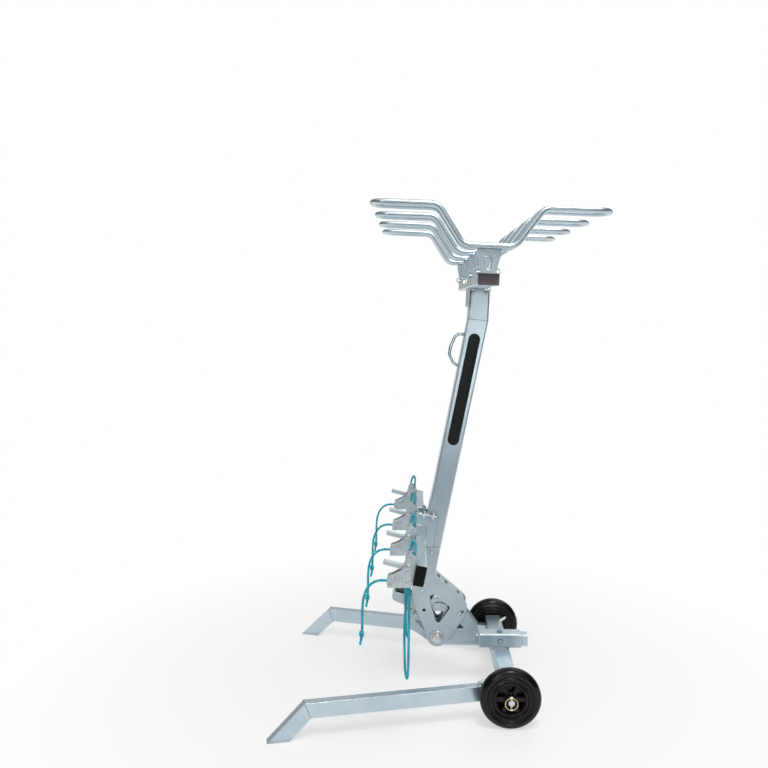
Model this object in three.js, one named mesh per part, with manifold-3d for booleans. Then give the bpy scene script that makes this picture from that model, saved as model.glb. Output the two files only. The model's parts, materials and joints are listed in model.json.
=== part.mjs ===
// Vertical hanging rack for four bikes, standing in its two-wheeled workshop trolley.
// A leaning mast carries two crossbeams: the upper one has a wire cradle for each front wheel, the
// lower one a rope tensioner for each rear wheel. The mast tilts on a pivot at the end of a hitch bar,
// and the hitch bar is pinned in the trolley's receiver.
// X runs towards the hitch end, Y along the beams, Z up. Everything is worked out from the tilt pivot,
// at X = 0 and Y = 0, and the finished group is set down with its base centred on the origin.

import * as THREE from 'three';
import { mergeVertices } from 'three/addons/utils/BufferGeometryUtils.js';
import Module from 'manifold-3d';

const wasm = await Module();
wasm.setup();

// General
const clearance = 0.3;
const runningClearance = 0.4;
const overrun = 8;
const tubeCorner = 5;

// Wheels and their axles
const wheelRadius = 100;
const tyreWidth = 44;
const rimRadius = 58;
const rimWidth = 38;
const rimWall = 8;
const rimWebThickness = 24;
const rimBackThickness = 4;
const hubRadius = 18;
const hubWidth = 48;
const windowInnerRadius = 21;
const windowOuterRadius = 46;
const windowCount = 6;
const windowAngle = 42;
const wheelSegments = 28;
const wheelTrack = 628;
const axleRadius = 10;
const axleX = 231;
const axlePlateThickness = 6;
const washerThickness = 3;
const linchRadius = 3;
const linchHeadRadius = 5;
const linchHeadLength = 11;
const linchRingRadius = 20;
const linchWireRadius = 1.8;
const linchTail = 13;
const linchRingDrop = 4;
const axleProud = 2.7;

// Trolley frame
const crossbeamSize = 60;
const crossbeamWall = 4;
const crossbeamTop = 142;
const legHeight = 50;
const legWidth = 30;
const legWall = 3;
const legTop = 120;
const legSplay = 13.65;
const legInset = 64;
const legRun = 650;
const toeAngle = 45;
const soleThickness = 4;

// Hitch bar and receiver. The hitch bar is narrower than the mast by the base plates, the pedal's arms
// and their gaps on each side.
const stingerInset = 14;
const stingerWall = 4;
const hitchClearance = 0.5;
const receiverWall = 4.5;
const receiverLength = 150;
const receiverX = 227;
const stingerStart = 14;
const stingerEnd = 327;
const hitchPinRadius = 6.5;
const hitchPinProud = 2;
const hitchPinNeck = 16;
const hitchPinHandle = 58;
const hitchPinBend = 14;
const screwRadius = 4;
const screwHeight = 38;
const screwArm = 42;
const screwBend = 9;
const screwArmAngle = 56;
const nutFlats = 17;
const nutHeight = 11;

// Tilt pivot, base plates and latch
const pivotRise = 18.7;
const pivotRadius = 10;
const pivotHeadFlats = 30;
const pivotHeadHeight = 12;
const pivotWasherRadius = 23;
const basePlateThickness = 6;
const sectorRadius = 121;
const hornRadius = 141;
const latchRadius = 115;
const latchAngle = 47;
const latchPinRadius = 6;
const latchTravel = 15;
const tiltRange = 21;
const webSlotLength = 13;
const webSlotWidth = 30;
const sectorEnd = 120;
const spacerRadius = 7;
const sidePlateThickness = 5;
const bossRadius = 18;
const pedalPinRadius = 5;
const pedalArmThickness = 5;
const pedalTreadThickness = 4;
const pedalGripThickness = 3.5;

// Mast
const mastSize = 70;
const mastWall = 3;
const mastLean = 11.2;
const mastOffset = 87;
const mastFoot = 150;
const mastBend = 1138;
const mastTopLength = 101;
const mastTopLean = 2.5;
const handleRod = 5.5;
const handleHeight = 113;
const handleDrop = 115;

// Crossbeams
const beamWide = 62;
const beamThick = 33;
const beamWall = 3;
const beamLength = 995;
const capFlange = 3.5;
const capCorner = 2;
const capPlug = 18;
const capWall = 3;
const lowerBeamRise = 359;
const gussetThickness = 5;
const gussetRise = 44;
const gussetDrop = 9;
const gussetFlange = 16;
const headPlateThickness = 6;
const headPlateWidth = 125;
const headSkirt = 58;
const upperBeamX = -14;

// Places for the bikes along the beams
const bikeCount = 4;
const bikeEnd = 25;

// Wheel cradles
const cradleTube = 8.8;
const cradleSpread = 93;
const cradleFlat = 74;
const cradleRun = 76.5;
const cradleRise = 111.5;
const cradleReach = 339;
const cradleBend = 40;
const cradleOffset = -4;
const cradleArcStep = 31;
const bracketHeight = 69;
const bracketTopWidth = 71;
const bracketFootWidth = 47;
const bracketBaseLength = 68;
const bracketThickness = 5;

// Rope tensioners
const tensionerInside = 22;
const tensionerPlate = 4;
const tensionerPin = 4.5;
const camRise = 17.1;
const camStandoff = 22.6;
const camPinRadius = 6;
const camRadius = 9.5;
const camWidth = 18;
const camTeeth = 12;
const toothDepth = 0.9;
const leverLength = 76;
const leverDepth = 13;
const leverDrop = 7;
const leverTilt = 14;
const ropeRadius = 4;
const ropeSides = 8;
const ropeStep = 24;

const degrees = Math.PI / 180;

// Materials

function metal(colour, roughness, metalness = 0.85) {
  return new THREE.MeshStandardMaterial({ color: colour, roughness, metalness });
}

const zincTube = metal(0xb4c0c6, 0.42);
const zincPlate = metal(0xaab4b8, 0.5);
const steelBright = metal(0xd2d6d8, 0.3);
const yellowZinc = metal(0xc8b878, 0.4);
const blackRubber = metal(0x191a1b, 0.85, 0);
const blackPlastic = metal(0x1d1c1e, 0.55, 0);
const brownPlastic = metal(0x4a4548, 0.6, 0);
const ropeTeal = metal(0x1795a5, 0.9, 0);

// Solids: three.js geometries are turned into closed solids, cut or joined, and turned back

function solid(geometry) {
  const bare = geometry.clone();
  bare.deleteAttribute('normal');
  bare.deleteAttribute('uv');
  const merged = mergeVertices(bare, 1e-4);
  const index = merged.index ? merged.index.array : [...merged.attributes.position.array.keys()];
  const mesh = new wasm.Mesh({
    numProp: 3,
    vertProperties: new Float32Array(merged.attributes.position.array),
    triVerts: new Uint32Array(index),
  });
  mesh.merge();
  return new wasm.Manifold(mesh);
}

function shapeOf(body) {
  const mesh = body.getMesh();
  const indexed = new THREE.BufferGeometry();
  indexed.setAttribute('position', new THREE.BufferAttribute(new Float32Array(mesh.vertProperties), 3));
  indexed.setIndex(new THREE.BufferAttribute(new Uint32Array(mesh.triVerts), 1));
  const geometry = indexed.toNonIndexed();
  geometry.computeVertexNormals();
  return geometry;
}

function join(...geometries) {
  return shapeOf(geometries.map(solid).reduce((whole, next) => whole.add(next)));
}

function cut(geometry, ...cutters) {
  return shapeOf(cutters.map(solid).reduce((whole, next) => whole.subtract(next), solid(geometry)));
}

function block(x0, x1, y0, y1, z0, z1) {
  const geometry = new THREE.BoxGeometry(x1 - x0, y1 - y0, z1 - z0);
  return geometry.translate((x0 + x1) / 2, (y0 + y1) / 2, (z0 + z1) / 2);
}

// A round bar between two Y values, centred on x and z
function barY(radius, y0, y1, x, z, sides = 16) {
  const geometry = new THREE.CylinderGeometry(radius, radius, y1 - y0, sides);
  return geometry.translate(x, (y0 + y1) / 2, z);
}

// A round bar between two Z values, centred on x and y
function barZ(radius, z0, z1, x, y, sides = 16) {
  const geometry = new THREE.CylinderGeometry(radius, radius, z1 - z0, sides);
  return geometry.rotateX(Math.PI / 2).translate(x, y, (z0 + z1) / 2);
}

// A shape drawn in X and Z, made a plate between two Y values
function plate(shape, y0, y1, curveSegments = 6) {
  const geometry = new THREE.ExtrudeGeometry(shape, { depth: y1 - y0, bevelEnabled: false, curveSegments });
  return geometry.rotateX(Math.PI / 2).translate(0, y1, 0);
}

// An outline given as shares of one size, with its corners rounded
function outline(shares, size, radius = 0) {
  const points = shares.map(([x, y]) => new THREE.Vector2(x * size, y * size));
  return new THREE.Shape(roundCorners(points, radius));
}

function roundCorners(points, radius, steps = 2) {
  if (radius === 0) return points;
  return points.flatMap((corner, i) => {
    const before = points[(i + points.length - 1) % points.length];
    const after = points[(i + 1) % points.length];
    const back = before.clone().sub(corner);
    const ahead = after.clone().sub(corner);
    const reach = Math.min(radius, back.length() / 3, ahead.length() / 3);
    const start = corner.clone().add(back.setLength(reach));
    const end = corner.clone().add(ahead.setLength(reach));
    return new THREE.QuadraticBezierCurve(start, corner, end).getPoints(steps);
  });
}

// A round hole whose flats stay a clearance off a bar of the given radius
function hole(x, z, radius, sides = 12) {
  const reach = (radius + clearance) / Math.cos(Math.PI / sides);
  return new THREE.Path(Array.from({ length: sides }, (_, i) => {
    const angle = (2 * Math.PI * i) / sides;
    return new THREE.Vector2(x - reach * Math.sin(angle), z + reach * Math.cos(angle));
  }));
}

function rectangle(width, height, corner = 0) {
  const [w, h] = [width / 2, height / 2];
  const points = [[-w, -h], [w, -h], [w, h], [-w, h]].map(([x, y]) => new THREE.Vector2(x, y));
  return roundCorners(points, corner);
}

// A straight rectangular tube along its own Z, from 0 to length, with rounded corners
function boxTube(width, height, wall, length) {
  const shape = new THREE.Shape(rectangle(width, height, tubeCorner));
  const inner = rectangle(width - 2 * wall, height - 2 * wall, Math.max(tubeCorner - wall, wall / 2));
  shape.holes.push(new THREE.Path(inner));
  return new THREE.ExtrudeGeometry(shape, { depth: length, bevelEnabled: false });
}

// Turns a piece made along Z so that it runs along Y, with its second axis up
function alongY(geometry) {
  return geometry.rotateX(Math.PI / 2);
}

// Turns a piece made along Z so that it runs along X, with its second axis up
function alongX(geometry) {
  const turn = new THREE.Matrix4().makeBasis(
    new THREE.Vector3(0, 1, 0), new THREE.Vector3(0, 0, 1), new THREE.Vector3(1, 0, 0));
  return geometry.applyMatrix4(turn);
}

// A run of points through the given corners, each corner an arc of the given radius
function bent(corners, radius, closed = false, arcStep = 22) {
  const count = corners.length;
  return corners.flatMap((corner, i) => {
    if (!closed && (i === 0 || i === count - 1)) return [corner.clone()];
    const back = corners[(i + count - 1) % count].clone().sub(corner).normalize();
    const ahead = corners[(i + 1) % count].clone().sub(corner).normalize();
    const turn = Math.PI - back.angleTo(ahead);
    const middle = back.clone().add(ahead).normalize();
    const centre = corner.clone().addScaledVector(middle, radius / Math.cos(turn / 2));
    const start = corner.clone().addScaledVector(back, radius * Math.tan(turn / 2)).sub(centre);
    const axis = back.clone().cross(ahead).normalize().negate();
    const steps = Math.max(2, Math.round(turn / degrees / arcStep));
    return Array.from({ length: steps + 1 }, (_, k) =>
      start.clone().applyAxisAngle(axis, (turn * k) / steps).add(centre));
  });
}

// A round rod or tube swept along a run of points, open with flat ends or closed on itself
const uprightShare = 0.9;

function rod(points, radius, sides = 8, closed = false) {
  const count = points.length;
  const tangents = points.map((point, i) => {
    const before = closed ? points[(i + count - 1) % count] : points[Math.max(i - 1, 0)];
    const after = closed ? points[(i + 1) % count] : points[Math.min(i + 1, count - 1)];
    const back = point.clone().sub(before).normalize();
    const ahead = after.clone().sub(point).normalize();
    return back.add(ahead).normalize();
  });
  const upright = Math.abs(tangents[0].z) > uprightShare;
  const helper = upright ? new THREE.Vector3(1, 0, 0) : new THREE.Vector3(0, 0, 1);
  const side = helper.clone().cross(tangents[0]).normalize();
  const positions = [];
  points.forEach((point, i) => {
    const turn = new THREE.Quaternion().setFromUnitVectors(tangents[Math.max(i - 1, 0)], tangents[i]);
    side.applyQuaternion(turn).addScaledVector(tangents[i], -side.dot(tangents[i])).normalize();
    const up = tangents[i].clone().cross(side);
    for (let k = 0; k < sides; k += 1) {
      const angle = (2 * Math.PI * k) / sides;
      const place = point.clone();
      place.addScaledVector(side, radius * Math.cos(angle)).addScaledVector(up, radius * Math.sin(angle));
      positions.push(place.x, place.y, place.z);
    }
  });
  const faces = [];
  const spans = closed ? count : count - 1;
  for (let i = 0; i < spans; i += 1) {
    for (let k = 0; k < sides; k += 1) {
      const [a, b] = [i * sides + k, i * sides + ((k + 1) % sides)];
      const next = ((i + 1) % count) * sides;
      const [c, d] = [next + k, next + ((k + 1) % sides)];
      faces.push(a, b, d, a, d, c);
    }
  }
  if (!closed) {
    const last = (count - 1) * sides;
    for (let k = 1; k < sides - 1; k += 1) {
      faces.push(0, k + 1, k);
      faces.push(last, last + k, last + k + 1);
    }
  }
  const geometry = new THREE.BufferGeometry();
  geometry.setAttribute('position', new THREE.Float32BufferAttribute(positions, 3));
  geometry.setIndex(faces);
  return geometry.toNonIndexed();
}

// Places

const stingerSize = mastSize - 2 * stingerInset;
const crossbeamCentre = crossbeamTop - crossbeamSize / 2;
const legRootY = wheelTrack / 2 - legInset;
const receiverSize = stingerSize + 2 * (hitchClearance + receiverWall);
const hitchHeight = crossbeamTop + clearance + receiverSize / 2;
const receiverTop = hitchHeight + receiverSize / 2;
const pivotHeight = hitchHeight + pivotRise;
const pivot = new THREE.Vector3(0, 0, pivotHeight);
const basePlateInside = stingerSize / 2 + clearance;
const basePlateOutside = basePlateInside + basePlateThickness;
const sidePlateInside = mastSize / 2 + clearance;
const sidePlateOutside = sidePlateInside + sidePlateThickness;
const handleRise = mastBend - handleDrop;
const bikePitch = (beamLength - 2 * bikeEnd) / (bikeCount - 1);
const bikePlaces = Array.from({ length: bikeCount }, (_, i) => (i - (bikeCount - 1) / 2) * bikePitch);

// Distance up the mast's axis and out from it (towards the bikes) to a place in the room
const leanUp = new THREE.Vector3(Math.sin(mastLean * degrees), 0, Math.cos(mastLean * degrees));
const leanOut = new THREE.Vector3(-Math.cos(mastLean * degrees), 0, Math.sin(mastLean * degrees));

function onMast(up, out, y = 0) {
  const place = pivot.clone().addScaledVector(leanUp, up).addScaledVector(leanOut, out + mastOffset);
  return place.setY(y);
}

const mastTopStart = onMast(mastBend, 0);

// A piece drawn on the mast's head, with its origin at the centre of the mast's top face
function onHead(geometry) {
  const rise = new THREE.Vector3(Math.sin(mastTopLean * degrees), 0, Math.cos(mastTopLean * degrees));
  const top = mastTopStart.clone().addScaledVector(rise, mastTopLength);
  return geometry.rotateY(mastTopLean * degrees).translate(top.x, top.y, top.z);
}

// Trolley

function crossbeam() {
  const halfLength = stubAxlePlateY() - clearance;
  const tube = alongY(boxTube(crossbeamSize, crossbeamSize, crossbeamWall, 2 * halfLength));
  return tube.translate(axleX, halfLength, crossbeamCentre);
}

function stubAxlePlateY() {
  return wheelTrack / 2 - hubWidth / 2 - clearance - axlePlateThickness;
}

function linchPinY() {
  return wheelTrack / 2 + hubWidth / 2 + washerThickness + 2 * clearance + linchRadius;
}

function linchRingY() {
  return linchPinY() + linchRadius + clearance + linchWireRadius;
}

function axleEndY() {
  return linchRingY() + axleProud;
}

// The end plate welded in the crossbeam's end, with the axle stub, cross-drilled for its linch pin
function stubAxle(side) {
  const inner = stubAxlePlateY();
  const shape = new THREE.Shape(rectangle(crossbeamSize, crossbeamSize, tubeCorner));
  const end = plate(shape, inner, inner + axlePlateThickness, 1).translate(axleX, 0, crossbeamCentre);
  const stub = barY(axleRadius, inner + axlePlateThickness / 2, axleEndY(), axleX, wheelRadius, 16);
  const bore = barZ(linchRadius + clearance, 0, 2 * wheelRadius, axleX, linchPinY(), 12);
  return sideways(cut(join(end, stub), bore), side);
}

// Mirrors a piece made on the +Y side to the -Y side
function sideways(geometry, side) {
  if (side > 0) return geometry;
  const mirrored = geometry.clone();
  const place = mirrored.attributes.position;
  for (let i = 0; i < place.count; i += 1) place.setY(i, -place.getY(i));
  for (let i = 0; i < place.count; i += 3) {
    const [x, y, z] = [place.getX(i + 1), place.getY(i + 1), place.getZ(i + 1)];
    place.setXYZ(i + 1, place.getX(i + 2), place.getY(i + 2), place.getZ(i + 2));
    place.setXYZ(i + 2, x, y, z);
  }
  mirrored.computeVertexNormals();
  return mirrored;
}

// Side view of a leg, level from its root and mitred down to the floor, drawn inset by its wall
function legShape(inset, floor) {
  const top = legTop - inset;
  const bottom = legTop - legHeight + inset;
  const angle = toeAngle * degrees;
  const shift = inset * Math.tan(angle / 2);
  const knee = legRun - shift;
  const innerKnee = legRun - (legHeight - inset) * Math.tan(angle / 2);
  return new THREE.Shape([
    new THREE.Vector2(-legHeight, top),
    new THREE.Vector2(knee, top),
    new THREE.Vector2(knee + (top - floor) / Math.tan(angle), floor),
    new THREE.Vector2(innerKnee + (bottom - floor) / Math.tan(angle), floor),
    new THREE.Vector2(innerKnee, bottom),
    new THREE.Vector2(-legHeight, bottom),
  ].reverse());
}

function leg(side) {
  const outer = plate(legShape(0, 0), -legWidth / 2, legWidth / 2);
  const halfInside = legWidth / 2 - legWall;
  const inner = plate(legShape(legWall, soleThickness), -halfInside, halfInside).translate(-legWall, 0, 0);
  const hollow = cut(outer, inner);
  hollow.rotateZ(Math.PI - legSplay * degrees);
  const face = axleX - crossbeamSize / 2;
  hollow.translate(face, legRootY, 0);
  const far = wheelTrack / 2;
  const beam = block(face - clearance, face + crossbeamSize, legRootY - far, legRootY + far, 0, 2 * legTop);
  return sideways(cut(hollow, beam), side);
}

// The square receiver tube with the hitch pin's cross bore and the clamp screw's welded nut on top
function receiver() {
  const tube = alongX(boxTube(receiverSize, receiverSize, receiverWall, receiverLength));
  tube.translate(receiverX - receiverLength / 2, 0, hitchHeight);
  const nut = new THREE.CylinderGeometry(nutFlats / Math.sqrt(3), nutFlats / Math.sqrt(3), nutHeight, 6);
  nut.rotateX(Math.PI / 2).translate(receiverX, 0, receiverTop + nutHeight / 2 - receiverWall / 2);
  const screwBore = barZ(screwRadius + clearance, hitchHeight, receiverTop + 2 * nutHeight, receiverX, 0);
  const far = receiverSize / 2 + overrun;
  const pinBore = barY(hitchPinRadius + clearance, -far, far, receiverX, hitchHeight);
  return cut(join(tube, nut), screwBore, pinBore);
}

function stinger() {
  const tube = alongX(boxTube(stingerSize, stingerSize, stingerWall, stingerEnd - stingerStart));
  tube.translate(stingerStart, 0, hitchHeight);
  const far = stingerSize / 2 + overrun;
  return cut(tube, barY(hitchPinRadius + clearance, -far, far, receiverX, hitchHeight));
}

// The hitch pin runs right through the receiver and bends into a handle on the far side
function hitchPin() {
  const near = -receiverSize / 2 - hitchPinProud;
  const neck = receiverSize / 2 + hitchPinNeck;
  const corners = [
    new THREE.Vector3(receiverX, near, hitchHeight),
    new THREE.Vector3(receiverX, neck, hitchHeight),
    new THREE.Vector3(receiverX - hitchPinHandle, neck, hitchHeight),
  ];
  return rod(bent(corners, hitchPinBend), hitchPinRadius, 12);
}

// The clamp screw presses the hitch bar down, and is turned by its bent arm
function clampScrew() {
  const tip = hitchHeight + stingerSize / 2 + clearance;
  const bend = receiverTop + screwHeight;
  const angle = screwArmAngle * degrees;
  const corners = [
    new THREE.Vector3(receiverX, 0, tip),
    new THREE.Vector3(receiverX, 0, bend),
    new THREE.Vector3(receiverX + screwArm * Math.cos(angle), screwArm * Math.sin(angle), bend),
  ];
  return rod(bent(corners, screwBend), screwRadius, 10);
}

// Wheels

// A solid rubber tyre: flat tread, round shoulders and a raised ring on each sidewall
const tyreShares = [
  [0.6, -0.86], [0.71, -0.86], [0.8, -1], [0.94, -0.82], [1, -0.42],
  [1, 0.42], [0.94, 0.82], [0.8, 1], [0.71, 0.86], [0.6, 0.86],
];

function turned(profile, side, segments) {
  const points = [...profile, profile[0]].map(([radius, along]) => new THREE.Vector2(radius, along));
  const ring = new THREE.LatheGeometry(points, segments);
  return ring.translate(axleX, (side * wheelTrack) / 2, wheelRadius);
}

function tyre(side) {
  const seat = rimRadius + clearance;
  const profile = tyreShares.map(([across, along], i) => {
    const edge = i === 0 || i === tyreShares.length - 1;
    return [edge ? seat : across * wheelRadius, (along * tyreWidth) / 2];
  });
  return turned(profile, side, wheelSegments);
}

// The moulded rim: a ring for the tyre, a web of six spokes and a long hub, with the pockets between
// the spokes closed by a skin on the inner side
function rim(side) {
  const centre = (side * wheelTrack) / 2;
  const ring = turned([
    [rimRadius - rimWall, -rimWidth / 2], [rimRadius, -rimWidth / 2],
    [rimRadius, rimWidth / 2], [rimRadius - rimWall, rimWidth / 2],
  ], side, wheelSegments);
  const disc = new THREE.Shape().absarc(0, 0, rimRadius - rimWall / 2, 0, 2 * Math.PI);
  const backDisc = disc.clone();
  const half = (windowAngle / 2) * degrees;
  for (let i = 0; i < windowCount; i += 1) {
    const middle = Math.PI / 2 + (2 * Math.PI * i) / windowCount;
    const window = new THREE.Path();
    window.absarc(0, 0, windowOuterRadius, middle - half, middle + half);
    window.absarc(0, 0, windowInnerRadius, middle + half / 2, middle - half / 2, true);
    window.closePath();
    disc.holes.push(window);
  }
  const webHalf = rimWebThickness / 2;
  const skin = ordered(-side * webHalf, -side * (webHalf - rimBackThickness));
  const [web, back] = [plate(disc, -webHalf, webHalf, 3), plate(backDisc, ...skin, 3)].map((piece) =>
    piece.translate(axleX, centre, wheelRadius));
  const hubEnd = hubWidth / 2;
  const hub = barY(hubRadius, centre - hubEnd, centre + hubEnd, axleX, wheelRadius, 16);
  const far = hubEnd + overrun;
  const bore = barY(axleRadius + runningClearance, centre - far, centre + far, axleX, wheelRadius, 16);
  return cut(join(ring, web, back, hub), bore);
}

// A linch pin drops through the axle; its head carries the spring ring that snaps round the axle's end
const linchOpening = Math.asin(((linchHeadLength + linchWireRadius) / 2 + clearance) / linchRingRadius);

function linchHeadHeight() {
  return wheelRadius - linchRingDrop + linchRingRadius * Math.cos(linchOpening);
}

function linchPin(side) {
  const y = linchPinY();
  const head = linchHeadHeight();
  const shank = barZ(linchRadius, wheelRadius - axleRadius - linchTail, head, axleX, y, 10);
  const barrel = new THREE.CylinderGeometry(linchHeadRadius, linchHeadRadius, linchHeadLength, 12);
  barrel.rotateZ(Math.PI / 2).translate(axleX, (y + linchRingY()) / 2, head);
  return sideways(join(shank, barrel), side);
}

function linchRing(side) {
  const steps = 18;
  const points = Array.from({ length: steps + 1 }, (_, i) => {
    const angle = Math.PI / 2 + linchOpening + ((2 * Math.PI - 2 * linchOpening) * i) / steps;
    return new THREE.Vector3(linchRingRadius * Math.cos(angle), 0, linchRingRadius * Math.sin(angle));
  });
  const ring = rod(points, linchWireRadius, 6);
  return sideways(ring.translate(axleX, linchRingY(), wheelRadius - linchRingDrop), side);
}

// Tilt pivot

// Outlines about the pivot, as shares of the sector's radius
const baseFootShares = [[-0.98, 0.71], [-0.95, 0.31], [-0.12, -0.25], [0.3, -0.165], [1.13, -0.155],
  [1.13, 0], [1.215, 0.19], [1.215, 0.28], [1.03, 0.55]];
const baseSlotShares = [[-0.66, 0.47], [-0.6, 0.37], [-0.25, 0.1], [-0.21, 0.2], [-0.53, 0.48]];
const baseWindowShares = [[-0.13, 0.75], [-0.05, 0.4], [0.01, 0.36], [0.06, 0.38], [0.2, 0.69],
  [0.18, 0.75]];
const baseCornerShares = [[0.37, 0.33], [0.37, 0.21], [0.77, 0.215], [0.79, 0.27], [0.69, 0.38],
  [0.52, 0.47]];
const spacerShares = [-0.65, 0.62];

function polar(radius, angle) {
  return new THREE.Vector2(radius * Math.cos(angle * degrees), radius * Math.sin(angle * degrees));
}

// The plate welded to the hitch bar's side: a sector about the pivot between two horns. The latch pin
// runs in the step between the right horn and the sector's edge.
function basePlate(side) {
  const grip = ((latchPinRadius + runningClearance) / latchRadius) / degrees;
  const stepFloor = latchRadius - latchPinRadius - runningClearance;
  const stepStart = latchAngle - grip;
  const stepEnd = latchAngle + tiltRange + grip;
  const foot = baseFootShares.map(([x, z]) => new THREE.Vector2(x * sectorRadius, z * sectorRadius));
  const shape = new THREE.Shape(foot);
  shape.lineTo(...polar(hornRadius, stepStart - grip / 2));
  shape.lineTo(...polar(hornRadius - latchPinRadius, stepStart));
  shape.absarc(0, 0, stepFloor, stepStart * degrees, stepEnd * degrees);
  shape.absarc(0, 0, sectorRadius, stepEnd * degrees, sectorEnd * degrees);
  shape.closePath();
  for (const shares of [baseSlotShares, baseWindowShares, baseCornerShares]) {
    shape.holes.push(outline(shares, sectorRadius, latchPinRadius));
  }
  shape.holes.push(hole(0, 0, pivotRadius, 16));
  const spacer = spacerShares.map((share) => share * sectorRadius);
  shape.holes.push(hole(...spacer, spacerRadius));
  return sideways(plate(shape, basePlateInside, basePlateOutside, 5).translate(0, 0, pivotHeight), side);
}

function baseSpacer() {
  const [x, z] = spacerShares.map((share) => share * sectorRadius);
  return barY(spacerRadius, -basePlateOutside, basePlateOutside, x, pivotHeight + z, 12);
}

// The pivot bolt with its washers, head and nut
function pivotBolt() {
  const washer = sidePlateOutside + clearance + washerThickness;
  const end = washer + pivotHeadHeight;
  const flats = pivotHeadFlats / Math.sqrt(3);
  const shaft = barY(pivotRadius, -end, end + clearance, 0, 0, 16);
  const washers = [-1, 1].map((side) =>
    barY(pivotWasherRadius, ...ordered(side * (washer - washerThickness), side * washer), 0, 0, 18));
  const heads = [-1, 1].map((side) =>
    barY(flats, ...ordered(side * (washer - washerThickness / 2), side * end), 0, 0, 6));
  return join(shaft, ...washers, ...heads).translate(0, 0, pivotHeight);
}

function ordered(a, b) {
  return a < b ? [a, b] : [b, a];
}

// Outline of the tilt bracket's side plate about the pivot, as shares of its height
const bracketRise = 327;
const sideLowShares = [[-0.13, 0.065], [-0.226, 0.303], [-0.242, 0.346], [-0.275, 0.459],
  [-0.275, 0.56], [-0.177, 1], [0.027, 1]];
const webShares = [[-0.026, 0.688], [0.291, 0.422]];
const webSlotShares = [0.14, 0.4, 0.82];
const sideEndShares = [[0.324, 0.376], [0.324, 0.321], [0.281, 0.217], [0.208, 0.089]];
const sideWindowShares = [[-0.08, 0.468], [-0.079, 0.382], [-0.012, 0.18], [0.009, 0.159],
  [0.031, 0.168], [0.141, 0.33], [0.128, 0.352], [-0.037, 0.48]];
const pivotEndShare = 0.109;
const pivotEndTurn = 75;
const pivotEndStop = 200;
const pedalPinShares = [-0.144, 0.303];

function pedalPin() {
  return pedalPinShares.map((share) => share * bracketRise);
}

function latchPlace(radius = latchRadius) {
  return polar(radius, latchAngle);
}

// A folded channel: two side plates round the mast's foot, joined by a web on the upper right, with a
// bearing boss inside each plate at the pivot and a radial slot for the latch pin
function tiltBracket() {
  const endRadius = pivotEndShare * bracketRise;
  const shape = new THREE.Shape();
  const rightPoint = sideEndShares.at(-1);
  const start = Math.atan2(rightPoint[1], rightPoint[0]) - pivotEndTurn * degrees;
  const list = [...sideLowShares, ...webShares, ...sideEndShares];
  shape.absarc(0, 0, endRadius, start, pivotEndStop * degrees, true);
  for (const [x, z] of list) shape.lineTo(x * bracketRise, z * bracketRise);
  shape.closePath();
  shape.holes.push(outline(sideWindowShares, bracketRise, latchPinRadius));
  const slotHalf = latchPinRadius + runningClearance;
  const low = latchPlace();
  const high = latchPlace(latchRadius + latchTravel);
  const slot = new THREE.Path();
  slot.absarc(low.x, low.y, slotHalf, (latchAngle + 90) * degrees, (latchAngle + 270) * degrees);
  slot.absarc(high.x, high.y, slotHalf, (latchAngle - 90) * degrees, (latchAngle + 90) * degrees);
  shape.holes.push(slot);
  shape.holes.push(hole(...pedalPin(), pedalPinRadius));
  const plates = [-1, 1].map((side) =>
    plate(shape, ...ordered(side * sidePlateInside, side * sidePlateOutside), 4));
  const bosses = [-1, 1].map((side) => {
    const reach = ordered(side * (basePlateOutside + clearance), side * (sidePlateInside + clearance));
    return barY(bossRadius, ...reach, 0, 0, 16);
  });
  const [upper, lower] = webShares.map(([x, z]) => new THREE.Vector2(x * bracketRise, z * bracketRise));
  const inward = lower.clone().sub(upper).rotateAround(new THREE.Vector2(), -Math.PI / 2);
  inward.setLength(sidePlateThickness);
  const web = new THREE.Shape([upper, lower, lower.clone().add(inward), upper.clone().add(inward)]);
  const webPlate = plate(web, -sidePlateInside - clearance, sidePlateInside + clearance);
  const slots = webSlotShares.map((share) => {
    const half = lower.clone().sub(upper).setLength(webSlotLength / 2);
    const deep = inward.clone().multiplyScalar(2);
    const [start, end] = [-1, 1].map((way) => upper.clone().lerp(lower, share).addScaledVector(half, way));
    const opening = [start.clone().sub(deep), end.clone().sub(deep), end.add(deep), start.add(deep)];
    return plate(new THREE.Shape(opening), -webSlotWidth / 2, webSlotWidth / 2);
  });
  const bore = barY(pivotRadius + clearance, -mastSize, mastSize, 0, 0, 16);
  const bracket = cut(join(...plates, webPlate, ...bosses), bore, ...slots);
  bracket.translate(0, 0, pivotHeight);
  return cut(bracket, mastLoft(mastSize + 2 * clearance, 0));
}

function latchPin() {
  const place = latchPlace();
  const reach = sidePlateOutside + latchPinRadius / 2;
  return barY(latchPinRadius, -reach, reach, place.x, pivotHeight + place.y, 14);
}

// Foot pedal: outlines about the pivot, as shares of the bracket's height
const pedalTreadShares = [[-0.473, 0.505], [-0.495, 0.438], [-0.483, 0.404], [-0.318, 0.332],
  [-0.19, 0.272], [-0.144, 0.257], [-0.1, 0.275], [-0.085, 0.32], [-0.02, 0.392], [0.045, 0.392],
  [0.13, 0.37], [0.165, 0.325], [0.165, 0.215], [0.27, 0.215], [0.285, 0.236]];
const pedalHeelShares = [-0.3, 0.4565];
const gripShares = [0.1, 0.97];
const pedalBackShares = [[0.28, 0.278], [0.278, 0.3], [0.235, 0.352], [0.14, 0.418], [0.05, 0.44],
  [-0.04, 0.438], [-0.11, 0.39], [-0.17, 0.385], [-0.28, 0.451]];

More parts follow.
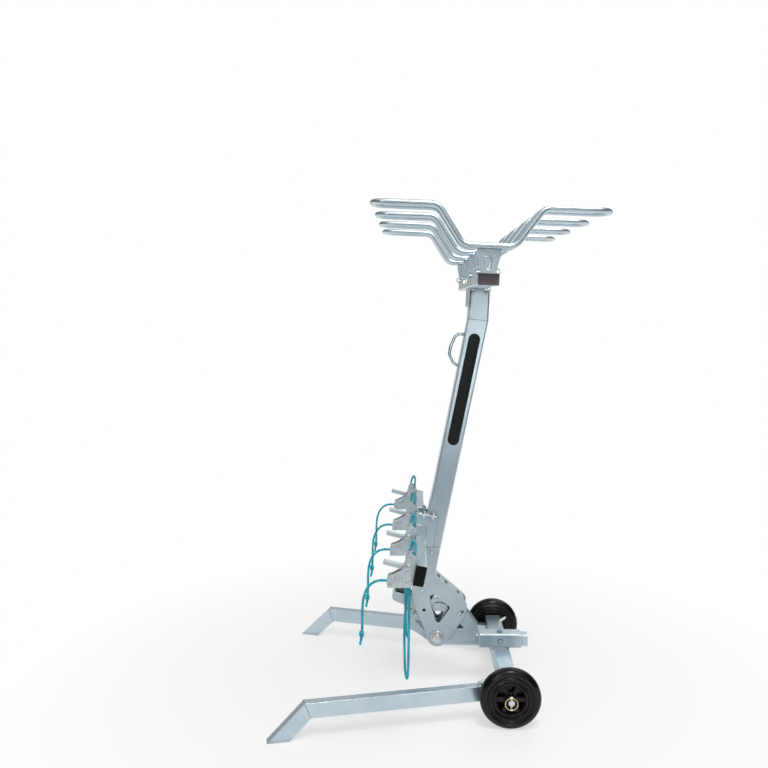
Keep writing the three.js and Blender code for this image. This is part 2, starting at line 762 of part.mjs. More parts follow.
function pedal() {
  const latch = latchPlace();
  const gap = latchPinRadius + runningClearance + clearance;
  const fork = [
    [latch.x + gap, latch.y - gap], [latch.x - gap, latch.y - gap],
    [latch.x - gap, latch.y + gap], [latch.x + gap, latch.y + gap],
  ].map(([x, z]) => [x / bracketRise, z / bracketRise]);
  const armShape = outline([...pedalTreadShares, ...fork, ...pedalBackShares], bracketRise);
  const outside = sidePlateInside - runningClearance - clearance;
  const inside = outside - pedalArmThickness;
  const arms = [-1, 1].map((side) => plate(armShape, ...ordered(side * inside, side * outside)));
  const nose = pedalTreadShares[0];
  const treadEdge = [nose, pedalHeelShares].map((shares) =>
    new THREE.Vector2(...shares).multiplyScalar(bracketRise));
  const down = treadEdge[1].clone().sub(treadEdge[0]).rotateAround(new THREE.Vector2(), -Math.PI / 2);
  down.setLength(pedalTreadThickness);
  const tread = new THREE.Shape([treadEdge[0], treadEdge[1], treadEdge[1].clone().add(down),
    treadEdge[0].clone().add(down)]);
  const lip = pedalTreadShares.slice(0, 3);
  const lipPoints = lip.map(([x, z]) => new THREE.Vector2(x, z).multiplyScalar(bracketRise));
  const thick = new THREE.Vector2(pedalTreadThickness, 0);
  const lipInside = lipPoints.map((point) => point.clone().add(thick)).reverse();
  const noseShape = new THREE.Shape([...lipPoints, ...lipInside]);
  const treadPlate = plate(tread, -outside + clearance, outside - clearance);
  const nosePlate = plate(noseShape, -outside + clearance, outside - clearance);
  const pins = [-1, 1].map((side) => {
    const root = outside - pedalArmThickness / 2;
    const end = sidePlateOutside - washerThickness / 2;
    return barY(pedalPinRadius, ...ordered(side * root, side * end), ...pedalPin(), 12);
  });
  return join(...arms, treadPlate, nosePlate, ...pins).translate(0, 0, pivotHeight);
}

function pedalGrip() {
  const nose = new THREE.Vector2(...pedalTreadShares[0]).multiplyScalar(bracketRise);
  const heel = new THREE.Vector2(...pedalHeelShares).multiplyScalar(bracketRise);
  const along = heel.clone().sub(nose);
  const up = along.clone().rotateAround(new THREE.Vector2(), Math.PI / 2).normalize();
  const [start, end] = gripShares.map((share) => nose.clone().addScaledVector(along, share));
  const shape = new THREE.Shape([
    start.clone().addScaledVector(up, clearance + pedalGripThickness),
    start.clone().addScaledVector(up, clearance),
    end.clone().addScaledVector(up, clearance),
    end.clone().addScaledVector(up, clearance + pedalGripThickness),
  ]);
  const reach = sidePlateInside - pedalArmThickness;
  return plate(shape, -reach, reach).translate(0, 0, pivotHeight);
}

// Mast

// A tube of square section with one mitred bend, lofted through its foot, bend and top
function mastLoft(size, extra) {
  const section = rectangle(size, size, tubeCorner);
  const lean = mastLean * degrees;
  const topLean = mastTopLean * degrees;
  const mitre = (lean + topLean) / 2;
  const topUp = new THREE.Vector3(Math.sin(topLean), 0, Math.cos(topLean));
  const stations = [
    { at: onMast(mastFoot - extra, 0), tilt: lean, stretch: 1 },
    { at: mastTopStart, tilt: mitre, stretch: 1 / Math.cos((lean - topLean) / 2) },
    { at: mastTopStart.clone().addScaledVector(topUp, mastTopLength + extra), tilt: topLean, stretch: 1 },
  ];
  const rings = stations.map(({ at, tilt, stretch }) => section.map(({ x, y }) =>
    new THREE.Vector3(at.x + x * stretch * Math.cos(tilt), y, at.z - x * stretch * Math.sin(tilt))));
  return loft(rings);
}

// A closed solid through rings of as many points each, turning left round the way they go
function loft(rings) {
  const count = rings[0].length;
  const positions = rings.flat().flatMap(({ x, y, z }) => [x, y, z]);
  const faces = [];
  for (let i = 0; i < rings.length - 1; i += 1) {
    for (let k = 0; k < count; k += 1) {
      const [a, b] = [i * count + k, i * count + ((k + 1) % count)];
      faces.push(a, b, b + count, a, b + count, a + count);
    }
  }
  const last = (rings.length - 1) * count;
  for (let k = 1; k < count - 1; k += 1) {
    faces.push(0, k + 1, k);
    faces.push(last, last + k, last + k + 1);
  }
  const geometry = new THREE.BufferGeometry();
  geometry.setAttribute('position', new THREE.Float32BufferAttribute(positions, 3));
  geometry.setIndex(faces);
  return geometry.toNonIndexed();
}

function mast() {
  return cut(mastLoft(mastSize, 0), mastLoft(mastSize - 2 * mastWall, overrun));
}

// The lifting handle, a rod bent to a lopsided D on the side where the bikes hang
const handleShares = [[1, 0], [0.98, 0.17], [0.87, 0.27], [0.55, 0.335], [0.3, 0.33], [0.08, 0.18], [0, 0]];

function handle() {
  const seat = mastSize / 2 + clearance;
  const ends = handleShares.map(([up, out]) =>
    onMast(handleRise + (up - 0.5) * handleHeight, seat + out * handleHeight));
  const curve = new THREE.CatmullRomCurve3(ends);
  const round = rod(curve.getPoints(16), handleRod, 8);
  const wall = mastLoft(mastSize + 2 * clearance, 0);
  return cut(round, wall);
}

// Head of the mast: a top plate with a skirt down the left side, on which the upper beam sits
function mastHead() {
  const half = mastSize / 2 + clearance;
  const outer = half + headPlateThickness;
  const wide = headPlateWidth / 2;
  const top = clearance + headPlateThickness;
  const plateTop = block(-outer, half, -wide, wide, clearance, top);
  const shape = new THREE.Shape(rectangle(headPlateWidth, headSkirt + top, tubeCorner));
  const skirt = alongX(new THREE.ExtrudeGeometry(shape, { depth: headPlateThickness, bevelEnabled: false }));
  return onHead(join(plateTop, skirt.translate(-outer, 0, (top - headSkirt) / 2)));
}

// Beams

function beam() {
  return alongY(boxTube(beamWide, beamThick, beamWall, beamLength)).translate(0, beamLength / 2, 0);
}

function beamCap(side) {
  const flange = new THREE.Shape(rectangle(beamWide, beamThick, capCorner));
  const plugGap = 2 * (beamWall + clearance);
  const plug = new THREE.Shape(rectangle(beamWide - plugGap, beamThick - plugGap, tubeCorner - beamWall));
  const hollow = rectangle(beamWide - plugGap - 2 * capWall, beamThick - plugGap - 2 * capWall);
  plug.holes.push(new THREE.Path(hollow));
  const face = beamLength / 2 + clearance;
  const outside = plate(flange, face, face + capFlange);
  const inside = plate(plug, face - capPlug, face + capFlange / 2);
  return sideways(join(outside, inside), side);
}

const upperBeamZ = 2 * clearance + headPlateThickness + beamThick / 2;

function onUpperBeam(geometry) {
  return onHead(geometry.translate(upperBeamX, 0, upperBeamZ));
}

function onLowerBeam(geometry) {
  const place = onMast(lowerBeamRise, mastSize / 2 + clearance + beamThick / 2);
  return geometry.rotateY(-Math.PI / 2 + mastLean * degrees).translate(place.x, place.y, place.z);
}

// The lower beam sits on the mast's face. On each side of the mast a three-cornered gusset is welded to
// it, which tapers down the mast and is folded outwards into a flange at its top.
function lowerBeam() {
  const half = beamWide / 2;
  const seat = -beamThick / 2;
  const top = half + gussetRise;
  const shape = new THREE.Shape([
    new THREE.Vector2(top, beamThick / 2),
    new THREE.Vector2(top, seat - beamThick),
    new THREE.Vector2(-half - gussetDrop, seat - beamThick - gussetThickness),
    new THREE.Vector2(-half - gussetDrop, seat - beamThick + gussetThickness),
    new THREE.Vector2(-half + gussetDrop, beamThick / 2 - gussetThickness),
    new THREE.Vector2(half, beamThick / 2 - gussetThickness),
  ]);
  const pieces = [-1, 1].flatMap((side) => {
    const flange = ordered(side * sidePlateInside, side * (sidePlateInside + gussetFlange));
    return [
      plate(shape, ...ordered(side * sidePlateInside, side * (sidePlateInside + gussetThickness))),
      block(top - gussetThickness, top, ...flange, seat - beamThick, beamThick / 2),
    ];
  });
  return onLowerBeam(join(beam(), ...pieces));
}

// Wheel cradles

// A closed loop of bent tube: two strands dipping in the middle, joined by a round end at each side
function cradle(place) {
  const half = cradleSpread / 2;
  const low = beamThick / 2 + clearance + bracketHeight + clearance + cradleTube;
  const strand = [
    [-cradleReach, cradleRise], [-cradleFlat - cradleRun, cradleRise], [-cradleFlat, 0],
    [cradleFlat, 0], [cradleFlat + cradleRun, cradleRise], [cradleReach, cradleRise],
  ];
  const near = strand.map(([x, z]) => new THREE.Vector3(x, -half, low + z));
  const far = strand.map(([x, z]) => new THREE.Vector3(x, half, low + z)).reverse();
  const loop = rod(bent([...near, ...far], cradleBend, true, cradleArcStep), cradleTube, 8, true);
  return onUpperBeam(loop.translate(cradleOffset, place, 0));
}

// Outline of a bracket's side plate, as shares of half its top width and of its height
const bracketSideShares = [[1, 1], [0.97, 0.8], [0.72, 0.3], [0.66, 0]];
const bracketWindowShares = [[-0.46, 0.76], [-0.32, 0.3], [-0.16, 0.17], [0.16, 0.17], [0.32, 0.3],
  [0.46, 0.76]];
const bracketNotchShares = [[-0.37, 1.1], [-0.37, 0.96], [0.37, 0.96], [0.37, 1.1]];

// The bracket is a channel folded from plate, with its two sides under the tube's strands, and a
// window and a weld notch in each side
function cradleBracket(place) {
  const half = cradleSpread / 2;
  const base = beamThick / 2 + clearance;
  const wide = bracketTopWidth / 2;
  const scaled = (shares) => shares.map(([x, z]) => new THREE.Vector2(x * wide, z * bracketHeight));
  const right = scaled(bracketSideShares);
  const left = right.map(({ x, y }) => new THREE.Vector2(-x, y)).reverse();
  const shape = new THREE.Shape([...left, ...right]);
  shape.holes.push(new THREE.Path(roundCorners(scaled(bracketWindowShares), bracketThickness)));
  const sides = [-1, 1].map((side) => {
    const reach = ordered(side * (half - bracketThickness), side * half);
    return plate(shape, ...reach, 2);
  });
  const notch = plate(new THREE.Shape(scaled(bracketNotchShares)), -half - overrun, half + overrun);
  const long = bracketBaseLength / 2;
  const floor = block(-long, long, -half, half, 0, bracketThickness);
  const whole = cut(join(floor, ...sides), notch);
  return onUpperBeam(whole.translate(cradleOffset, place, base));
}

// Rope tensioners

// Outline of a side plate about the cam's pin, as shares of the lever's length, and its cross pins
const tensionerShares = [[0.083, 0.545], [0.2, 0.49], [0.34, 0.36], [0.4, 0.12], [0.118, -0.85],
  [-0.84, -0.86], [-0.85, -0.62], [-0.79, -0.39], [-0.6, -0.32], [-0.24, -0.13], [-0.14, 0.1],
  [-0.1, 0.27], [-0.03, 0.46]];
const topPinShares = [0.1, 0.42];
const lowPinShares = [-0.06, -0.63];
const nosePinShares = [[-0.67, -0.5], [-0.735, -0.77]];
const backShares = [-0.7, 0.66];

// The cam's pin stands off the lower beam's face, a little above its middle
const camOut = mastSize / 2 + clearance + beamThick + camStandoff;

function onCamPin(geometry, place) {
  const pin = onMast(lowerBeamRise + camRise, camOut, place);
  return geometry.translate(pin.x, pin.y, pin.z);
}

// The back plate of a tensioner lies on the lower beam's face
function tensionerFrame(place) {
  const inside = tensionerInside / 2;
  const outside = inside + tensionerPlate;
  const shape = outline(tensionerShares, leverLength);
  const plates = [-1, 1].map((side) => plate(shape, ...ordered(side * inside, side * outside), 2));
  const middle = (inside + outside) / 2;
  const pins = [topPinShares, lowPinShares, ...nosePinShares].map(([x, z]) =>
    barY(tensionerPin, -middle, middle, x * leverLength, z * leverLength, 6));
  const camPin = barY(camPinRadius, -outside - tensionerPlate, outside + tensionerPlate, 0, 0, 10);
  const [low, high] = backShares.map((share) => share * beamWide);
  const face = beamThick / 2 + clearance;
  const wide = outside - clearance;
  const back = onLowerBeam(block(low, high, -wide, wide, face, face + tensionerPlate));
  const frame = onCamPin(join(...plates, ...pins, camPin), 0);
  return cut(join(frame, back), lowerBeamSpace()).translate(0, place, 0);
}

// The lower beam's envelope, for pieces that seat against it
function lowerBeamSpace() {
  const half = beamLength;
  const [wide, thick] = [beamWide / 2 + clearance, beamThick / 2 + clearance];
  return onLowerBeam(block(-wide, wide, -half, half, -thick, thick));
}

// The cam lever: a toothed cam on the pin with a channel handle reaching out over the nose
function camLever(place) {
  const half = camWidth / 2;
  const toothShape = new THREE.Shape(Array.from({ length: 2 * camTeeth }, (_, i) =>
    polar(i % 2 === 0 ? camRadius : camRadius - toothDepth, (180 * i) / camTeeth)));
  const cam = plate(toothShape, -half, half);
  const grip = plate(new THREE.Shape(rectangle(leverLength, leverDepth, tubeCorner)), -half, half, 2);
  grip.translate(-leverLength / 2, 0, -leverDrop);
  const [deep, skin] = [-leverDepth - leverDrop, leverDepth / 2 - leverDrop - capWall];
  const hollow = block(-leverLength + capWall, -camRadius, -half + capWall, half - capWall, deep, skin);
  const bore = barY(camPinRadius + runningClearance, -camWidth, camWidth, 0, 0, 10);
  const lever = cut(join(cam, cut(grip, hollow)), bore);
  return onCamPin(lever.rotateY(leverTilt * degrees), place);
}

// Ropes

// Each rope comes over the tensioner's far plate, is knotted, and ends in a hanging loop. Its tail
// leaves the nose, bows over and hangs down to a stopper knot. Points from the middle of the cam's pin.
const loopRoute = [
  [14.5, 0, 1.5], [16, 0, 15.5], [19.5, 0, 31.5], [22.5, 2, 49.5], [21.5, 9, 64.5], [17.5, 19, 69.5],
  [11.5, 27, 59.5], [5.5, 31, 39.5], [3.5, 33.8, 9.5], [3.5, 33.8, -18.5], [1.5, 34, -45.5],
  [-2.5, 38, -85.5], [-6.5, 42, -135.5], [-10.5, 45, -190.5], [-11.5, 46, -250.5], [-10.5, 44, -305.5],
  [-8.5, 38, -347.5], [-4.5, 27, -365.5], [-1.5, 14, -357.5], [0.5, 6, -325.5], [1.5, 4, -270.5],
  [2.5, 7, -200.5], [3.5, 13, -135.5], [4.5, 20, -80.5], [4, 25.2, -42.5], [3.5, 25.2, -18.5],
];
const tailRoute = [
  [14.4, 0, 1.1], [11.9, 0, -11.5], [7, 0, -27.5], [-2.5, 0, -37], [-17.5, 0, -42.5], [-35.5, 0, -46],
  [-52.5, 0, -48.2], [-70.5, 0, -47.5], [-88.5, 1, -48.5], [-106.5, 2, -55.5], [-122.5, 4, -72.5],
  [-133.5, 5, -97.5], [-138.5, 6, -130.5], [-139.5, 6, -170.5], [-140.5, 6, -205.5], [-142.5, 6, -230.5],
  [-146.5, 6, -252.5],
];
const loopKnotAt = [3.5, 29.5, -15.5];
const stopperKnotAt = [-141.5, 6, -218.5];
const knotShares = [[0, 1], [0.7, 0.85], [1, 0.5], [0.82, 0.25], [1, 0], [0.82, -0.25], [1, -0.5],
  [0.7, -0.85], [0, -1]];
const loopKnotSize = [11, 19];
const stopperKnotSize = [10, 12];

function ropeTube(route) {
  const curve = new THREE.CatmullRomCurve3(route.map((point) => new THREE.Vector3(...point)));
  const steps = Math.round(curve.getLength() / ropeStep);
  const round = new THREE.Shape(Array.from({ length: ropeSides }, (_, i) =>
    polar(ropeRadius, (360 * i) / ropeSides)));
  return new THREE.ExtrudeGeometry(round, { steps, bevelEnabled: false, extrudePath: curve });
}

function knot([x, y, z], [radius, half]) {
  const profile = knotShares.map(([out, up]) => new THREE.Vector2(out * radius, -up * half));
  return new THREE.LatheGeometry(profile, 8).rotateX(Math.PI / 2).translate(x, y, z);
}

function rope(route, knotPlace, knotSize, place) {
  return onCamPin(join(ropeTube(route), knot(knotPlace, knotSize)), place);
}

// The assembly

const rack = new THREE.Group();
const cords = new THREE.Group();

function add(name, geometry, material, group = rack) {
  const mesh = new THREE.Mesh(geometry, material);
  mesh.name = name;
  group.add(mesh);
}

add('trolley_crossbeam', crossbeam(), zincTube);
add('receiver_tube', receiver(), zincTube);
add('stinger_tube', stinger(), zincTube);
add('hitch_pin', hitchPin(), steelBright);
add('clamp_screw', clampScrew(), steelBright);
for (const [name, side] of [['left', -1], ['right', 1]]) {
  add(`leg_${name}`, leg(side), zincTube);
  add(`stub_axle_${name}`, stubAxle(side), steelBright);
  add(`tyre_${name}`, tyre(side), blackRubber);
  add(`rim_${name}`, rim(side), blackPlastic);
  add(`linch_pin_${name}`, linchPin(side), yellowZinc);
  add(`linch_ring_${name}`, linchRing(side), yellowZinc);
  add(`base_plate_${name}`, basePlate(side), zincPlate);
  add(`upper_beam_cap_${name}`, onUpperBeam(beamCap(side)), brownPlastic);
  add(`lower_beam_cap_${name}`, onLowerBeam(beamCap(side)), blackPlastic);
}
add('base_spacer', baseSpacer(), steelBright);
add('pivot_bolt', pivotBolt(), steelBright);
add('tilt_bracket', tiltBracket(), zincPlate);
add('latch_pin', latchPin(), steelBright);
add('foot_pedal', pedal(), zincPlate);
add('pedal_grip', pedalGrip(), blackRubber);
add('mast_tube', mast(), zincTube);
add('mast_handle', handle(), zincTube);
add('mast_head', mastHead(), zincPlate);
add('upper_beam', onUpperBeam(beam()), zincTube);
add('lower_beam', lowerBeam(), zincTube);
bikePlaces.forEach((place, i) => {
  add(`wheel_cradle_${i + 1}`, cradle(place), zincTube);
  add(`cradle_bracket_${i + 1}`, cradleBracket(place), zincPlate);
  add(`tensioner_frame_${i + 1}`, tensionerFrame(place), zincPlate);
  add(`cam_lever_${i + 1}`, camLever(place), zincPlate);
  add(`rope_loop_${i + 1}`, rope(loopRoute, loopKnotAt, loopKnotSize, place), ropeTeal, cords);
  add(`rope_tail_${i + 1}`, rope(tailRoute, stopperKnotAt, stopperKnotSize, place), ropeTeal, cords);
});

// Set down on the floor with the middle of its base at the origin
const extent = new THREE.Box3().setFromObject(rack);
const middle = extent.getCenter(new THREE.Vector3());
const part = new THREE.Group();
part.add(rack, cords);
rack.position.set(-middle.x, -middle.y, -extent.min.z);
cords.position.copy(rack.position);

export default part;
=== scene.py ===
import json
import math

import bmesh
import bpy
from mathutils import Matrix, Vector


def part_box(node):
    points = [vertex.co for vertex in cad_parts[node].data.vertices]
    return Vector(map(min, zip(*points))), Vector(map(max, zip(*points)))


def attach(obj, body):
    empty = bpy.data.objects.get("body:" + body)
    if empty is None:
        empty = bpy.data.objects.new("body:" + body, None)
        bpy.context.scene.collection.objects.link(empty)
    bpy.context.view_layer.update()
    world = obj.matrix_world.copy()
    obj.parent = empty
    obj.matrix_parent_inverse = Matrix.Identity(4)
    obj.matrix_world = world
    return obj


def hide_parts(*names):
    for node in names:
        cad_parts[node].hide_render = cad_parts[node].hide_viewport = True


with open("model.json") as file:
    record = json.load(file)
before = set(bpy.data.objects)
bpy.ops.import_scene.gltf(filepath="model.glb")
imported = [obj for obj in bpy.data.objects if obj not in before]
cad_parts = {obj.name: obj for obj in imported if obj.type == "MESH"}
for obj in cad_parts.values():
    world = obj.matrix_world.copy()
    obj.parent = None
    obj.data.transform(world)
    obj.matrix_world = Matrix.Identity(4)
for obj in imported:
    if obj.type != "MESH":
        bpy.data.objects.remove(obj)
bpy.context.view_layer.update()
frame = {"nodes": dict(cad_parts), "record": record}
joint_at = {
    joint["name"]: Vector(joint["pos_m"])
    for joint in frame["record"]["behaviour"]["joints"]
    if "pos_m" in joint
}
pivot = joint_at["mast_tilt"]


# The studio: a pale floor that fades to the white backdrop and is darker in front, out of the
# picture. The camera stands at eye height, a little left of the mast, and looks slightly down.

camera_data = bpy.data.cameras.new("camera")
camera_data.lens = 38.2
camera_data.sensor_width = 36
camera_dip = math.radians(5.537)
camera_turn = math.radians(2.07)
camera = bpy.data.objects.new("camera", camera_data)
camera.location = pivot + Vector((-0.088, -2.867, 1.185))
camera.rotation_euler = (math.pi / 2 - camera_dip, 0, camera_turn)
bpy.context.scene.collection.objects.link(camera)
bpy.context.scene.camera = camera

backdrop_white = (1, 1, 1, 1)
floor_size = 30
floor_mesh = bpy.data.meshes.new("floor")
floor_shape = bmesh.new()
bmesh.ops.create_grid(floor_shape, x_segments=1, y_segments=1, size=floor_size)
floor_shape.to_mesh(floor_mesh)
floor = bpy.data.objects.new("floor", floor_mesh)
bpy.context.scene.collection.objects.link(floor)


def node_in(tree, kind, **settings):
    """A node with its settings: its properties, and its input sockets with _ for a space."""
    node = tree.nodes.new("ShaderNode" + kind)
    for setting, value in settings.items():
        if hasattr(node, setting):
            setattr(node, setting, value)
        else:
            node.inputs[setting.replace("_", " ")].default_value = value
    return node


def linked(tree, *wires):
    """Wires nodes together, each wire from an output of one node to an input of another."""
    for source, output, target, socket in wires:
        tree.links.new(source.outputs[output], target.inputs[socket])


def new_material(name):
    """A new material, its node tree and its shader."""
    material = bpy.data.materials.new(name)
    material.use_nodes = True
    return material, material.node_tree, material.node_tree.nodes["Principled BSDF"]


def looked_at(tree, shown, output):
    """How far a thing is seen: fully by the camera, and as shown in metal and clear things."""
    rays = node_in(tree, "LightPath")
    mirrored_rays = node_in(tree, "Math", operation="MAXIMUM")
    mirrored_share = node_in(tree, "Math", operation="MULTIPLY")
    either = node_in(tree, "Math", operation="MAXIMUM")
    linked(
        tree,
        (rays, "Is Glossy Ray", mirrored_rays, 0),
        (rays, "Is Transmission Ray", mirrored_rays, 1),
        (mirrored_rays, "Value", mirrored_share, 0),
        (shown, output, mirrored_share, 1),
        (rays, "Is Camera Ray", either, 0),
        (mirrored_share, "Value", either, 1),
    )
    return either


floor_paint, tree, paint = new_material("floor_paint")
paint.inputs["Roughness"].default_value = 0.9
place = node_in(tree, "TexCoord")
reach = node_in(tree, "VectorMath", operation="LENGTH")
fade = node_in(tree, "MapRange", From_Min=0.5, From_Max=1.5, To_Min=0.55, To_Max=1.0)
depth = node_in(tree, "SeparateXYZ")
near_edge = node_in(tree, "MapRange", From_Min=-2.4, From_Max=-0.7)
carpet = node_in(tree, "MixRGB", Color1=(0.16, 0.19, 0.21, 1), Color2=(0.86, 0.87, 0.88, 1))
mirrored_fade = node_in(tree, "Math", operation="MULTIPLY")
seen_share = node_in(tree, "Math", operation="MULTIPLY")
glow = node_in(tree, "Emission", Color=backdrop_white, Strength=1.0)
blend = node_in(tree, "MixShader")
linked(
    tree,
    (place, "Object", reach, 0),
    (reach, "Value", fade, "Value"),
    (fade, "Result", seen_share, 0),
    (place, "Object", depth, "Vector"),
    (depth, "Y", near_edge, "Value"),
    (near_edge, "Result", carpet, "Fac"),
    (carpet, "Color", paint, "Base Color"),
    (near_edge, "Result", mirrored_fade, 0),
    (fade, "Result", mirrored_fade, 1),
    (looked_at(tree, mirrored_fade, "Value"), "Value", seen_share, 1),
    (seen_share, "Value", blend, "Fac"),
    (paint, "BSDF", blend, 1),
    (glow, "Emission", blend, 2),
    (blend, "Shader", tree.nodes["Material Output"], "Surface"),
)
floor_mesh.materials.append(floor_paint)


# Soft studio light: a white backdrop behind the rack, a grey room that is palest overhead with
# dark flags at both sides and behind that let round edges stand out. Four lamps, from above, from
# the left, from behind and from the front, give the highlights.

room = bpy.data.worlds.new("room")
room.use_nodes = True
bpy.context.scene.world = room
bpy.context.scene.view_settings.view_transform = "Standard"
tree = room.node_tree
walls = tree.nodes["Background"]


def shade_ramp(tree, first, last, *between):
    """A node that blends from shade to shade, each given with its position from 0 to 1."""
    ramp = node_in(tree, "ValToRGB")
    stops = ramp.color_ramp.elements
    for stop, (position, colour) in zip(stops, (first, last)):
        stop.position = position
        stop.color = colour
    for position, colour in between:
        stops.new(position).color = colour
    return ramp


place = node_in(tree, "TexCoord")
height = node_in(tree, "SeparateXYZ")
shade = shade_ramp(
    tree, (0.3, (0.42, 0.45, 0.48, 1)), (0.86, (1.0, 1.0, 1.0, 1)), (0.56, (0.22, 0.25, 0.275, 1)),
)
level = node_in(tree, "MapRange", From_Min=-1.0, From_Max=1.0)
backdrop = node_in(tree, "Background", Color=backdrop_white, Strength=1.0)
behind = node_in(tree, "MapRange", From_Min=0.45, From_Max=1.5)
aside = node_in(tree, "Math", operation="ABSOLUTE")
flags = node_in(tree, "MapRange", From_Min=0.45, From_Max=0.8, To_Min=0.95, To_Max=0.14)
ceiling = node_in(tree, "MapRange", From_Min=-0.05, From_Max=0.4, To_Min=1.0, To_Max=0.35)
dimmed = node_in(tree, "Math", operation="MULTIPLY")
choose = node_in(tree, "MixShader")
linked(
    tree,
    (place, "Generated", height, "Vector"),
    (height, "Z", level, "Value"),
    (level, "Result", shade, "Fac"),
    (shade, "Color", walls, "Color"),
    (height, "X", aside, 0),
    (aside, "Value", flags, "Value"),
    (height, "Y", ceiling, "Value"),
    (flags, "Result", dimmed, 0),
    (ceiling, "Result", dimmed, 1),
    (dimmed, "Value", walls, "Strength"),
    (height, "Y", behind, "Value"),
    (looked_at(tree, behind, "Result"), "Value", choose, "Fac"),
    (walls, "Background", choose, 1),
    (backdrop, "Background", choose, 2),
    (choose, "Shader", tree.nodes["World Output"], "Surface"),
)


def soft_lamp(name, at, aim, width, watts):
    """A soft round lamp at a place, turned to shine on another."""
    lamp_data = bpy.data.lights.new(name, "AREA")
    lamp_data.shape = "DISK"
    lamp_data.size = width
    lamp_data.energy = watts
    lamp = bpy.data.objects.new(name, lamp_data)
    lamp.location = at
    lamp.rotation_euler = (Vector(aim) - Vector(at)).to_track_quat("-Z", "Y").to_euler()
    bpy.context.scene.collection.objects.link(lamp)


soft_lamp("lamp_above", (0.6, -1.6, 3.6), aim=(0, 0, 0.6), width=1.2, watts=56)
soft_lamp("lamp_left", (-1.6, -3.6, 2.2), aim=(0, 0, 0.7), width=1.4, watts=16)
soft_lamp("lamp_behind", (1.6, 2.6, 2.8), aim=(0, 0, 0.8), width=2.4, watts=30)
soft_lamp("lamp_front", (0.7, -4.6, 0.8), aim=(0.15, 0, 1.0), width=0.9, watts=9)


# The ropes: braided teal cord, 8 mm across. Each runs over its tensioner's back, is tied in a knot
# and ends in a hanging loop for a rear wheel. Its free end leaves the nose and hangs down to a
# second knot, which stops it from slipping through.

rope_diameter = 0.008
cam_pins = [joint_at[f"lever_{number}_lift"] for number in (1, 2, 3, 4)]
loop_route = [
    (14.5, 0, 1.5), (16, 0, 15.5), (19.5, 0, 31.5), (22.5, 2, 49.5), (21.5, 9, 64.5),
    (17.5, 19, 69.5), (11.5, 27, 59.5), (5.5, 31, 39.5), (3.5, 33.8, 9.5), (3.5, 33.8, -18.5),
    (1.5, 34, -45.5), (-2.5, 38, -85.5), (-6.5, 42, -135.5), (-10.5, 45, -190.5),
    (-11.5, 46, -250.5), (-10.5, 44, -305.5), (-8.5, 38, -347.5), (-4.5, 27, -365.5),
    (-1.5, 14, -357.5), (0.5, 6, -325.5), (1.5, 4, -270.5), (2.5, 7, -200.5), (3.5, 13, -135.5),
    (4.5, 20, -80.5), (4, 25.2, -42.5), (3.5, 25.2, -18.5),
]
tail_route = [
    (14.4, 0, 1.1), (11.9, 0, -11.5), (7, 0, -27.5), (-2.5, 0, -37), (-17.5, 0, -42.5),
    (-35.5, 0, -46), (-52.5, 0, -48.2), (-70.5, 0, -47.5), (-88.5, 1, -48.5),
    (-106.5, 2, -55.5), (-122.5, 4, -72.5), (-133.5, 5, -97.5), (-138.5, 6, -130.5),
    (-139.5, 6, -170.5), (-140.5, 6, -205.5), (-142.5, 6, -230.5), (-146.5, 6, -252.5),
]
loop_knot = Vector((0.0035, 0.0295, -0.0155))
stopper_knot = Vector((-0.1415, 0.006, -0.2185))

rope_braid, tree, weave = new_material("rope_braid")
weave.inputs["Roughness"].default_value = 0.75
weave.inputs["Sheen Weight"].default_value = 0.35
weave.inputs["Sheen Roughness"].default_value = 0.45
wrap = node_in(tree, "TexCoord")
crossed = node_in(tree, "Math", operation="MAXIMUM")
for socket, slant in enumerate((1, -1)):
    turn = node_in(tree, "Mapping", Scale=(4, 60 * slant, 1))
    band = node_in(tree, "TexWave", bands_direction="DIAGONAL", Scale=1.0)
    linked(
        tree,
        (wrap, "UV", turn, "Vector"),
        (turn, "Vector", band, "Vector"),
        (band, "Fac", crossed, socket),
    )
tone = shade_ramp(tree, (0.35, (0.0, 0.19, 0.25, 1)), (0.9, (0.01, 0.58, 0.72, 1)))
relief = node_in(tree, "Bump", Strength=0.7, Distance=0.0008)
linked(
    tree,
    (crossed, "Value", tone, "Fac"),
    (crossed, "Value", relief, "Height"),
    (tone, "Color", weave, "Base Color"),
    (relief, "Normal", weave, "Normal"),
)


def cord_curve(name, points, diameter, material):
    """A round cord along a smooth line through the points."""
    data = bpy.data.curves.new(name, "CURVE")
    data.dimensions = "3D"
    data.resolution_u = 8
    data.bevel_depth = diameter / 2
    data.bevel_resolution = 5
    data.use_fill_caps = True
    line = data.splines.new("BEZIER")
    line.bezier_points.add(len(points) - 1)
    for knot_point, at in zip(line.bezier_points, points):
        knot_point.co = at
        knot_point.handle_left_type = "AUTO"
        knot_point.handle_right_type = "AUTO"
    data.materials.append(material)
    piece = bpy.data.objects.new(name, data)
    bpy.context.scene.collection.objects.link(piece)
    return piece


def knot_curve(name, middle, half_height, turns, material):
    """The wrapped turns of a knot, a coil round the rope whose two ends are tucked back in."""
    coil_radius = rope_diameter * 0.62
    steps = 10 * turns
    points = []
    for step in range(steps + 1):
        share = step / steps
        angle = 2 * math.pi * turns * share
        width = coil_radius * (0.55 + 0.5 * math.sin(math.pi * share))
        rise = half_height * (1 - 2 * share)
        points.append(middle + Vector((width * math.cos(angle), width * math.sin(angle), rise)))
    return cord_curve(name, points, rope_diameter * 0.95, material)


